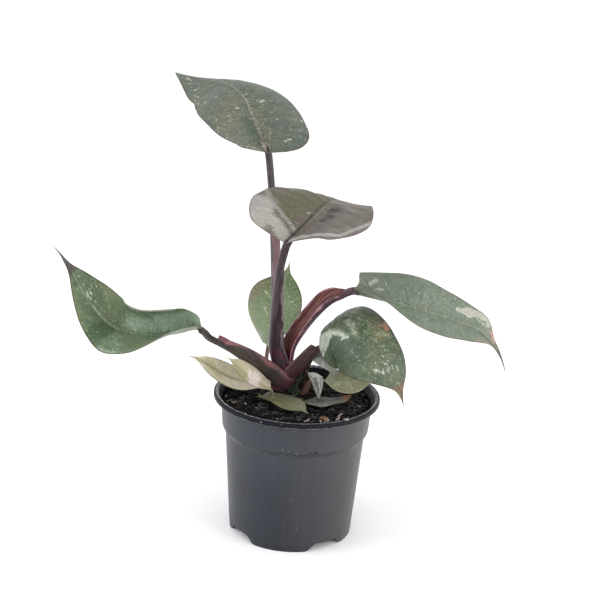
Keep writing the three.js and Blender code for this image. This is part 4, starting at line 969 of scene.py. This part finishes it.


# polypropylene, injection moulded from regrind: slate grey all through, satin skin with faint flow streaks up
# the wall, painted light that lightens it towards the collar and warms its right side, and a darker, cleaner
# lip with painted highlights along its edges
def potMaterial(name, tones, shine):
    material, tree = newMaterial(name)
    place = addNode(tree, "TexCoord", output=3)
    x, y, z = addNode(tree, "SeparateXYZ", [place]).node.outputs[:3]
    level = addNode(tree, "CombineXYZ", [x, y])
    radius = addNode(tree, "VectorMath", [level], 1, operation="LENGTH")
    stretched = addNode(tree, "Mapping", {"Vector": place, "Scale": (1.0, 1.0, 0.08)})
    cloudy, flow, grain, lineBreaks = (
        addNode(tree, "TexNoise", {"Vector": vector, "Scale": scale, "Detail": detail, "Roughness": rough})
        for vector, scale, detail, rough in (
            (place, 28.0, 4.0, 0.5), (stretched, 220.0, 3.0, 0.5), (place, 1500.0, 2.0, 0.5),
            (place, 420.0, 4.0, 0.7)))
    ground, *tones = (linearColor(tone) for tone in tones)
    paintedEdgeHighlight, shaded, line = (linearColor(tone) for tone in ("#a6a9ae", "#14161b", "#8b8d90"))
    # clouds, painted light that lightens the wall towards the collar, and flow streaks; painted highlights
    # along the lip's edges above and below; painted light that warms the right side; painted shade under the
    # collar's ledge and a thin pale line of wear along it. Levels are in m
    colour = ground
    for tint, *masks in (
            (tones[0], (cloudy, 0.35, 0.65)),
            (tones[1], (z, 0.015, 0.1, 0.0, 0.6)),
            (tones[2], (flow, 0.45, 0.75, 0.0, 0.25)),
            (paintedEdgeHighlight, (lineBreaks, 0.4, 0.6, 0.17, 0.85), (radius, 0.0588, 0.0582), (z, 0.1035, 0.1044)),
            (paintedEdgeHighlight, (lineBreaks, 0.45, 0.6, 0.085, 0.68), (radius, 0.0585, 0.0595), (z, 0.1022, 0.1019)),
            (tones[3], (x, -0.015, 0.05, 0.0, 0.35)),
            (shaded, (z, 0.0752, 0.0768, 0.0, 0.75), (z, 0.0806, 0.0794)),
            (line, (lineBreaks, 0.46, 0.58, 0.012, 0.08), (z, 0.0752, 0.0762), (z, 0.0782, 0.0768),
             (radius, 0.0495, 0.05))):
        colour = layOver(tree, colour, tint, *masks)
    # dust specks 0.4 to 0.8 mm wide, about one in each square centimetre, pale ones and dark ones
    for scale, share, tint in ((200.0, 0.07, "#8f8c86"), (110.0, 0.05, "#171412")):
        colour = dotsOver(tree, colour, linearColor(tint), place, scale, share, (0.1, 0.0, 0.5), 0.7)
    finishMaterial(tree, colour, grain, (0.2, 0.0001), flow, (0.33, 0.45), shine, 1.49)
    return material


def makePot():
    # the profile goes out along the underside, up the outside, over the lip and down the inside to the middle
    wall, height, rim, lipInner = pot["wall"], pot["height"], pot["rimRadius"], pot["lipInner"]
    trayHeight, disc, trayInner = pot["trayHeight"], pot["disc"], pot["trayInner"]
    low, middle, (bodyTop, bodyLevel) = pot["body"]
    (collarBottom, collarLevel), collarMiddle, (collarTop, collarEnd) = pot["collar"]
    lipBottom, innerFoot, trayTop = height - pot["lipHeight"], pot["foot"] - wall, trayHeight + wall
    points, faces = lathed(roundedProfile([
        [0, 0, 0], [disc, 0, 1], [trayInner, trayHeight, 1], [innerFoot, trayHeight, 0.8],
        [innerFoot, 0, 0.3], [pot["foot"], 0, 0.4], [*low, 0], [*middle, 0], [bodyTop, bodyLevel, 1.2],
        [collarBottom, collarLevel, 1.2], [*collarMiddle, 0], [collarTop, collarEnd, 0.9],
        [lipInner + 0.2, height - 1.6, 0.5], [rim - wall, height - 1.4, 0.3], [rim - wall, lipBottom, 0.2],
        [rim, lipBottom, 0.35], [rim, height, 1.2], [lipInner, height, 0.7],
        [collarTop - wall, height - 5, 1.2], [collarBottom - wall, collarLevel + 1, 1],
        [bodyTop - wall, bodyLevel + 1, 1], [innerFoot + 0.6, trayTop, 0.8], [trayInner - 1, trayTop, 0.8],
        [disc - 1, wall, 0.5], [0, wall, 0]]), pot["segments"])
    # the lower edge rises between the feet, and the wall above it gives way up to the body's lowest level
    r, z = np.hypot(points[:, 0], points[:, 1]), points[:, 2]
    pitch, top = 360 / pot["feet"], low[1]
    angle = np.degrees(np.arctan2(points[:, 0], -points[:, 1]))
    off = np.abs((angle - pot["footAngle"] + 1.5 * pitch) % pitch - pitch / 2)
    edge = pot["notch"] * smooth(off, pot["footFlat"], pot["footFlat"] + pot["footRamp"])
    skirt = np.abs(r - innerFoot) <= 0.35
    outside = edge + z * (top - edge) / top
    within = np.maximum(z, np.minimum(edge, trayHeight - 0.9) + z * 0.1)
    points[:, 2] = np.where((z < top) & (r > innerFoot - 0.35), np.where(skirt, within, outside), z)
    return points, faces


points, faces = makePot()
material = potMaterial("moulded_polypropylene_slate", pot["tones"], 0.36)
potPiece = addPiece("nursery_pot", points, faces, material, "pot_plastic", "pot")

# drain holes through the tray, cut with short rods and kept as part of the mesh
parts = []
middle = (pot["trayInner"] + pot["foot"] - pot["wall"]) / 2
low, high, radius = pot["drainFrom"], pot["drainTo"], pot["drainRadius"]
rod, rodFaces = lathed(np.array([[0, low], [radius, low], [radius, high], [0, high]]), pot["drainSegments"])
for k in range(pot["drains"]):
    turn = (k + 0.5) * circle / pot["drains"]
    parts.append((rod + [middle * math.cos(turn), middle * math.sin(turn), 0], rodFaces))
rods, rodFaces = joined(parts)
cutterMesh = bpy.data.meshes.new("drainRods")
cutterMesh.from_pydata((rods * toMetres).tolist(), [], rodFaces)
cutter = bpy.data.objects.new("drainRods", cutterMesh)
scene.collection.objects.link(cutter)
cut = potPiece.modifiers.new("drains", "BOOLEAN")
cut.object, cut.solver = cutter, "EXACT"
bpy.context.view_layer.update()
drained = bpy.data.meshes.new_from_object(potPiece.evaluated_get(bpy.context.evaluated_depsgraph_get()))
potPiece.modifiers.clear()
potPiece.data = drained
drained.materials.append(potMaterial("moulded_polypropylene_lip", pot["lipTones"], 0.1))
middles, normals = np.empty((2, len(drained.polygons) * 3))
drained.polygons.foreach_get("center", middles)
drained.polygons.foreach_get("normal", normals)
middles, normals = middles.reshape(-1, 3), normals.reshape(-1, 3)
level, inside = middles[:, 2] / toMetres, (middles[:, :2] * normals[:, :2]).sum(1) < 0
# the lip takes the darker lip material, and so do the lining's inward faces above liningFrom, as painted shade
lip = (level > pot["lipFrom"]) | (inside & (level > pot["liningFrom"]))
drained.polygons.foreach_set("material_index", lip.astype(np.int32))
bpy.data.objects.remove(cutter)

# crumbs dried on the wall: angle from the front in degrees, height, half width
potDust = {
    "pale": dict(tones=("#505256", "#7b7d81"), at=[
        [-6.7, 86.6, 0.35], [-3.4, 82, 0.5], [-5.5, 80.6, 0.3], [2.2, 80.2, 0.65], [-7.6, 79.2, 0.45],
        [-8.4, 82.6, 0.75], [4.5, 85.8, 0.3], [-12, 87, 0.35], [-1.2, 78.6, 0.35], [-9.6, 77.6, 0.4],
        [-26, 94, 0.4], [12, 97, 0.4], [-23, 103.5, 0.8], [24, 72, 0.35], [30, 68, 0.3], [-3, 97, 0.4],
        [-16, 96, 0.3], [37, 60, 0.3]]),
    "dark": dict(tones=("#121010", "#2a2421"), at=[
        [-40.9, 79.5, 0.8], [16.1, 81.2, 0.9], [13, 81, 0.6], [17.8, 80.8, 0.5], [11, 80.6, 0.4],
        [-57, 71, 0.4], [52, 33, 0.5], [27, 74.5, 0.4], [-38, 79.6, 0.4], [9, 98, 0.5], [-4, 99, 0.35]]),
}
# radii and levels of the wall's outside, with the step out to the lip
rim, (collarTop, collarEnd) = pot["rimRadius"], pot["collar"][-1]
wallRadii, wallLevels = np.transpose([
    [pot["foot"], 0], *pot["body"], *pot["collar"][:2], [collarTop, collarEnd + 0.3], [rim, collarEnd + 0.4],
    [rim, pot["height"]]])
for tone, dust in potDust.items():
    shape, own = grainShape(1)
    parts = []
    for angle, height, half in dust["at"]:
        wallAt = float(np.interp(height, wallLevels, wallRadii))
        dents = 1 + 0.5 * (cloud(shape[:, 0] * 3 + angle, shape[:, 2] * 3 + height) - 0.5)
        body = shape * dents[:, None] * half * [1, 0.35, 0.8] + [0, -wallAt - 0.05, height]
        parts.append((spun(body, math.radians(angle)), own))
    material, tree = newMaterial("dried_crumb_" + tone)
    place = addNode(tree, "TexCoord", output=3)
    rough = addNode(tree, "TexNoise", {"Vector": place, "Scale": 1500.0, "Detail": 2.0})
    low, high = (linearColor(end) for end in dust["tones"])
    colour = addNode(tree, "Mix", {0: rough, 6: low, 7: high}, 2, data_type="RGBA")
    crumb = {"Base Color": colour, "Roughness": 0.9, "Specular IOR Level": 0.2}
    addNode(tree, "OutputMaterial", {0: addNode(tree, "BsdfPrincipled", crumb)})
    addPiece("dried_crumbs_" + tone, *joined(parts), material, "pot_plastic")
print("pot made", len(drained.polygons))


# soil: moist bark and peat, with perlite and root hairs. outside is its hidden side, radii and levels from
# the bottom up, and flat the level of its top before the crumbs
soil = {
    "level": 97.5, "mound": 2.5, "moundRadius": 30, "lump": 0.65, "stemX": -8, "stemY": 20, "radius": 52.6,
    "outside": [[0, 2.2], [29.5, 2.2], [34, 8.6], [43.6, 9], [49, 76], [51.5, 80], [52.7, 88]], "flat": 97,
    "rings": 110, "segments": 220, "tones": ("#0a090a", "#161415", "#4c4a4a"),
}


def soilLevel(x, y):
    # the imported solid's low mound and lumps, roughened by three sizes of crumb and banked up at the wall
    away = (x - soil["stemX"]) ** 2 + (y - soil["stemY"]) ** 2
    mound = soil["mound"] * np.exp(-away / soil["moundRadius"] ** 2)
    lumps = np.sin(x / 5.1 + 1.3) * np.sin(y / 4.3 + 0.4) + 0.6 * np.sin(x / 2.7 - y / 3.4)
    crumbs = sum(high * (cloud(x / wide + offX, y / wide + offY) - 0.5)
                 for high, wide, offX, offY in ((1.4, 3.6, 0, 0), (0.9, 1.5, 9, 0), (0.5, 0.7, 0, 30)))
    banked = 1.2 * smooth(np.hypot(x, y), 44, 52)
    return soil["level"] + mound + soil["lump"] * lumps + crumbs + banked


# moist bark and peat: near black, matt, with browner fibres and a faint wet glint on some crumbs
def soilMaterial(name, tones, rough, size):
    material, tree = newMaterial(name)
    place = addNode(tree, "TexCoord", output=3)
    blotch, fine = (
        addNode(tree, "TexNoise", {"Vector": place, "Scale": scale, "Detail": detail, "Roughness": 0.7})
        for scale, detail in ((size, 5.0), (size * 6, 3.0)))
    ground, *tones = (linearColor(tone) for tone in tones)
    colour = layOver(tree, ground, tones[0], (blotch, 0.38, 0.62))
    colour = layOver(tree, colour, tones[1], (fine, 0.58, 0.72, 0.0, 0.7))
    height = addNode(tree, "Math", [blotch, fine], operation="ADD")
    finishMaterial(tree, colour, height, (0.8, 0.0006), fine, (rough, rough - 0.25), 0.2, 1.4)
    return material


rings = np.append(np.linspace(0, 1, soil["rings"])[1:] * soil["radius"], soil["radius"] + 0.1)
top = np.stack([rings[::-1], 0 * rings + soil["flat"]], -1)
points, faces = lathed(np.concatenate([soil["outside"], top, [[0, soil["flat"]]]]), soil["segments"])
surface = points[:, 2] > soil["flat"] - 1
points[surface, 2] = soilLevel(points[surface, 0], points[surface, 1])
material = soilMaterial("moist_bark_and_peat", soil["tones"], 0.95, 700.0)
addPiece("potting_mix_bed", points, faces, material, "potting_mix", "soil")


def scatterGrains(count, sizes, flatness, detail, sink):
    # copies of a grain, each stretched, dented and turned at random, set on the soil's surface
    shape, own = grainShape(detail)
    radius = soil["radius"] * np.sqrt(draw.random(count)) * 0.985
    angle = draw.random(count) * circle
    x, y = radius * np.cos(angle), radius * np.sin(angle)
    size = sizes[0] + (sizes[1] - sizes[0]) * draw.random(count) ** 2.2
    stretch = np.stack([1 + 0.8 * draw.random(count), 0.7 + 0.5 * draw.random(count),
                        flatness * (0.7 + 0.6 * draw.random(count))], -1)
    dents = 1 + 0.5 * (draw.random((count, len(shape))) - 0.5)
    turn, lean = draw.random((count, 1)) * circle, (draw.random((count, 1)) - 0.5) * 1.4
    body = shape[None] * dents[..., None] * stretch[:, None] * size[:, None, None]
    z = soilLevel(x, y) + size * (flatness * 0.5 - sink)
    points = spun(spun(body, lean, 0, 2), turn) + np.stack([x, y, z], -1)[:, None]
    faces = own[None] + (np.arange(count) * len(shape))[:, None, None]
    return points, faces.reshape(-1, 3)


# sizes are the least and the largest half width in mm, and sink is how deep a grain lies, in half widths
grains = {
    "peat_crumbs": dict(count=2600, sizes=(0.35, 1.3), flatness=0.8, detail=0, sink=0.1,
                        tones=("#0c0b0c", "#191718", "#4b4847"), rough=0.95),
    "bark_lumps": dict(count=420, sizes=(0.9, 2.9), flatness=0.6, detail=1, sink=0.2,
                       tones=("#0e0c0d", "#1b191a", "#4f4a47"), rough=0.9),
    "bark_flakes": dict(count=90, sizes=(0.7, 2.2), flatness=0.18, detail=1, sink=-0.1,
                        tones=("#2a2422", "#3d3531", "#655a50"), rough=0.85),
    "perlite": dict(count=150, sizes=(0.2, 0.7), flatness=0.85, detail=1, sink=0.0,
                    tones=("#8f8a82", "#b5b0a8", "#dcd9d2"), rough=0.95),
}
for name, grain in grains.items():
    spread = {key: grain[key] for key in ("count", "sizes", "flatness", "detail", "sink")}
    material = soilMaterial(name + "_matt", grain["tones"], grain["rough"], 900.0)
    addPiece(name, *scatterGrains(**spread), material, "potting_mix")

# larger pieces, given one by one: x, y, half sizes along, across and up, heading in degrees
chips = {
    "perlite_white": dict(tones=("#a8a5a0", "#c9c7c3", "#e6e5e2"), at=[
        [-36.7, -11.5, 1.2, 0.9, 0.7, 20], [-51, -2.5, 0.9, 0.7, 0.6, 80], [45.5, -3, 2.6, 0.9, 0.6, -25],
        [-30, -31, 0.7, 0.5, 0.4, 0], [23, 2, 0.7, 0.5, 0.4, 0], [-8, -44, 0.6, 0.5, 0.4, 0]]),
    "bark_orange": dict(tones=("#6f5c50", "#8c7869", "#b09c8b"), at=[
        [-44.5, -12.5, 2.0, 1.3, 0.8, 10], [9.8, -34.5, 1.8, 0.9, 0.4, -10], [-47, -9, 1.3, 0.8, 0.5, 60],
        [-16, -33, 1.2, 0.6, 0.4, 40]]),
}
for name, chip in chips.items():
    shape, own = grainShape(2)
    parts = []
    for x, y, along, across, high, heading in chip["at"]:
        dents = 1 + 0.35 * (cloud(shape[:, 0] * 2 + x, shape[:, 1] * 2 + shape[:, 2] * 3 + y) - 0.5)
        body = spun(shape * dents[:, None] * [along, across, high], math.radians(heading))
        parts.append((body + [x, y, float(soilLevel(x, y)) + high * 0.5], own))
    material = soilMaterial(name + "_matt", chip["tones"], 0.95, 600.0)
    addPiece(name, *joined(parts), material, "potting_mix")


def hairTubes(paths, radius, rows=14, sides=5):
    # thin round threads along many paths, in one mesh
    t = np.linspace(0, 1, rows)
    section, _ = roundSection(radius * (1 - 0.5 * t), sides)
    tubes = (sweepRings(*sweepFrames(path, t, ([0.1, 0.2, 1],) * 2), section) for path in paths)
    return joined([(tube.reshape(-1, 3), tubeFaces(rows, sides)) for tube in tubes])


def wanderingHairs(count, step, lift):
    # threads that wander over the soil, a few steps each, turning steadily
    hairs = []
    for _ in range(count):
        r, a = soil["radius"] * 0.96 * math.sqrt(draw.random()), draw.random() * circle
        x, y = r * math.cos(a), r * math.sin(a)
        heading, bend = draw.random() * circle, (draw.random() - 0.5) * 1.8
        walk = []
        for _ in range(5):
            walk.append([x, y, float(soilLevel(x, y)) + 0.4 + lift * draw.random()])
            x, y, heading = x + step * math.cos(heading), y + step * math.sin(heading), heading + bend
            if math.hypot(x, y) > soil["radius"] - 1:
                break
        if len(walk) > 2:
            hairs.append(walk)
    return hairs


def curlPath(x, y, z, radius, turns, tilt, heading, rise):
    # part of a ring, or a coil that rises, leaned by tilt about the heading
    t = np.linspace(0, 1, 9)
    ring = radius * np.stack([np.cos(turns * circle * t), np.sin(turns * circle * t), 0 * t], -1)
    turned = spun(spun(ring, tilt, 1, 2), heading)
    return turned + [x, y, z] + t[:, None] * [0, 0, rise]


# a curl is its middle, radius, turns, tilt, heading and rise, with the angles in radians
curls = [
    [-23.5, -18.9, 100.6, 3.6, 0.93, 0.25, 1.2, 0.8], [-14.5, -28, 99.8, 2.0, 0.6, 0.3, 3.0, 0.5],
    [40, -12, 100, 2.6, 0.5, 0.2, 0.3, 0.4], [43, -16, 100, 1.8, 0.6, 0.2, 2.2, 0.4],
]
# paths, radius and tones
threads = {
    "root_hairs": (wanderingHairs(110, 2.6, 1.4), 0.2, ("#46423e", "#6a6560", "#918b84")),
    "fine_root_hairs": (wanderingHairs(420, 1.6, 1.0), 0.12, ("#6a6764", "#8b8885", "#b2afab")),
    "root_ring": ([curlPath(*curl) for curl in curls], 0.42, ("#4c4846", "#6c6764", "#8f8a85")),
}
for name, (paths, thick, tones) in threads.items():
    addPiece(name, *hairTubes(paths, thick), soilMaterial("dry_" + name, tones, 0.9, 500.0), "potting_mix")

# dead leaf scraps, strips rolled on themselves: place, length, width, then roll, heading and lean in degrees
scraps = {
    "a": dict(tones=("#5a4131", "#86674f", "#ac917a"), at=[
        [16.5, -48.5, 104.6, 7.5, 3.4, 230, 35, 55], [20.5, -51.5, 104.8, 6.0, 2.8, 190, -45, 25]]),
    "b": dict(tones=("#8c7e7c", "#b3a5a3", "#d6cac8"), at=[
        [20, -54.5, 105.4, 4.0, 1.6, 150, 80, 60], [34.5, -45, 104.8, 7.5, 1.3, 300, 10, 75],
        [30.5, -46, 104.2, 6.0, 1.2, 170, 130, 35], [6, -46, 101.6, 4.0, 1.4, 60, 20, 10],
        [28, -48, 104.8, 3.5, 0.9, 120, 60, 50], [17.5, -53, 105.2, 3.0, 0.9, 100, -70, 50]]),
}
scrapGrid = {"rows": 22, "columns": 7}
for kind, scrap in scraps.items():
    rows, columns = scrapGrid["rows"], scrapGrid["columns"]
    t, w = np.linspace(0, 1, rows)[:, None], np.linspace(-1, 1, columns)[None, :]
    parts = []
    for x, y, z, long, wide, roll, heading, lean in scrap["at"]:
        roll, heading, lean = (math.radians(angle) for angle in (roll, heading, lean))
        a = roll * t
        bend = long / roll * (1 + 0.25 * cloud(a * 1.3 + x, w + y))
        width = wide / 2 * (0.45 + 0.55 * np.sin(np.clip(t, 0.04, 0.96) * math.pi))
        across = w * width + 0.5 * cloud(a * 2 + y, w + x)
        strip = np.stack([bend * np.sin(a), across, bend * (1 - np.cos(a))], -1).reshape(-1, 3)
        upper = spun(spun(strip, lean, 1, 2), heading) + [x, y, z]
        parts.append((np.concatenate([upper, upper + [0.0, 0.12, 0.16]]), sheetFaces(rows, columns)))
    material = soilMaterial("dry_leaf_scrap_" + kind, scrap["tones"], 0.85, 500.0)
    addPiece("dry_scraps_" + kind, *joined(parts), material, "potting_mix")
print("soil made")


# stem: short, ringed where old leaves stood
stem = {"x": -8, "y": 20, "radius": 5.5, "bottom": 66, "top": 121, "segments": 48}
r, bottom, top = stem["radius"], stem["bottom"], stem["top"]
points, faces = lathed(roundedProfile([
    [0, bottom, 0], [r * 0.6, bottom, 1], [r, bottom + 4, 1], [r, 96, 1], [r * 1.03, 98, 0.8],
    [r * 0.95, 100, 0.8], [r, top - 18, 1], [r * 0.9, top - 17, 0.5], [r * 0.85, top - 8, 1],
    [r * 0.7, top - 7, 0.5], [r * 0.5, top - 1, 1], [0, top, 0]]), stem["segments"])
x, y, z = points.T
angle = np.arctan2(y, x)
layers = {
    "stalkPlace": np.stack([angle * r, z, 0 * z], -1),
    "stalkSide": np.stack([0 * z, 0 * z, (z - bottom) / (top - bottom)], -1),
}
stemLook = dict(seed=9, outer="#45202c", outerStreak="#5d3038", head="#6b3341", foot="#3a2a22", footEnd=0.7)
material = stalkMaterial("leaf_stalk_stem", fullLook(stalkDefaults, stemLook))
addPiece("ringed_stem", points + [stem["x"], stem["y"], 0], faces, material, "stalk", "stem", layers)
print("stem made")


# stage, light and camera
stageLook = {"floor": "#fdfdfd", "size": 9.0, "air": 1.08}
material, tree = newMaterial("matt_white_board")
board = {"Base Color": linearColor(stageLook["floor"]), "Roughness": 0.9, "Specular IOR Level": 0.1}
addNode(tree, "OutputMaterial", {0: addNode(tree, "BsdfPrincipled", board)})
mesh = bpy.data.meshes.new("floor")
half = stageLook["size"]
mesh.from_pydata([[-half, -half, 0], [half, -half, 0], [half, half, 0], [-half, half, 0]], [], [[0, 1, 2, 3]])
mesh.materials.append(material)
floor = bpy.data.objects.new("floor", mesh)
scene.collection.objects.link(floor)

world = bpy.data.worlds.new("soft_room")
scene.world = world
world.use_nodes = True
air = world.node_tree.nodes["Background"].inputs
air[0].default_value, air[1].default_value = (1.0, 1.0, 1.0, 1.0), stageLook["air"]

lamps = {
    "window_left": dict(place=(-1.2, -0.3, 0.8), size=0.9, power=9.0, tint=(0.9, 0.95, 1.0)),
    "bounce_right": dict(place=(1.2, -0.6, 0.6), size=0.9, power=9.0, tint=(1.0, 0.97, 0.94)),
}
for name, lamp in lamps.items():
    light = bpy.data.lights.new(name, "AREA")
    light.shape, light.size, light.energy, light.color = "SQUARE", lamp["size"], lamp["power"], lamp["tint"]
    holder = bpy.data.objects.new(name, light)
    scene.collection.objects.link(holder)
    aim = np.array([0, 0, 0.15]) - lamp["place"]
    holder.location = lamp["place"]
    holder.rotation_euler = Vector(aim.tolist()).to_track_quat("-Z", "Y").to_euler()

# the camera stands at a distance from the target's level and a height in degrees over it; pitch, yaw and roll
# are its own turns in degrees, and focal is the length of its lens
camera = {
    "height": 24.6, "distance": 1000, "target": 50, "pitch": 17.77, "yaw": -0.1, "roll": 3.2, "focal": 81.12,
}
rise, pitch, yaw, roll = (math.radians(camera[key]) for key in ("height", "pitch", "yaw", "roll"))
forward = np.array([math.sin(yaw) * math.cos(pitch), math.cos(yaw) * math.cos(pitch), -math.sin(pitch)])
level = np.array([math.cos(yaw), -math.sin(yaw), 0])
right = math.cos(roll) * level + math.sin(roll) * np.cross(level, forward)
upward = np.cross(right, forward)
eye = np.array([0, -math.cos(rise), math.sin(rise)]) * camera["distance"] + [0, 0, camera["target"]]
lens = bpy.data.cameras.new("camera")
lens.lens, lens.sensor_width, lens.clip_end = camera["focal"], 36, 100
holder = bpy.data.objects.new("camera", lens)
scene.collection.objects.link(holder)
rows = [[right[k], upward[k], -forward[k], eye[k] * toMetres] for k in range(3)]
holder.matrix_world = Matrix(rows + [[0, 0, 0, 1]])
scene.camera = holder
scene.view_settings.view_transform = "Standard"
print("stage, light and camera set")

bpy.context.view_layer.update()
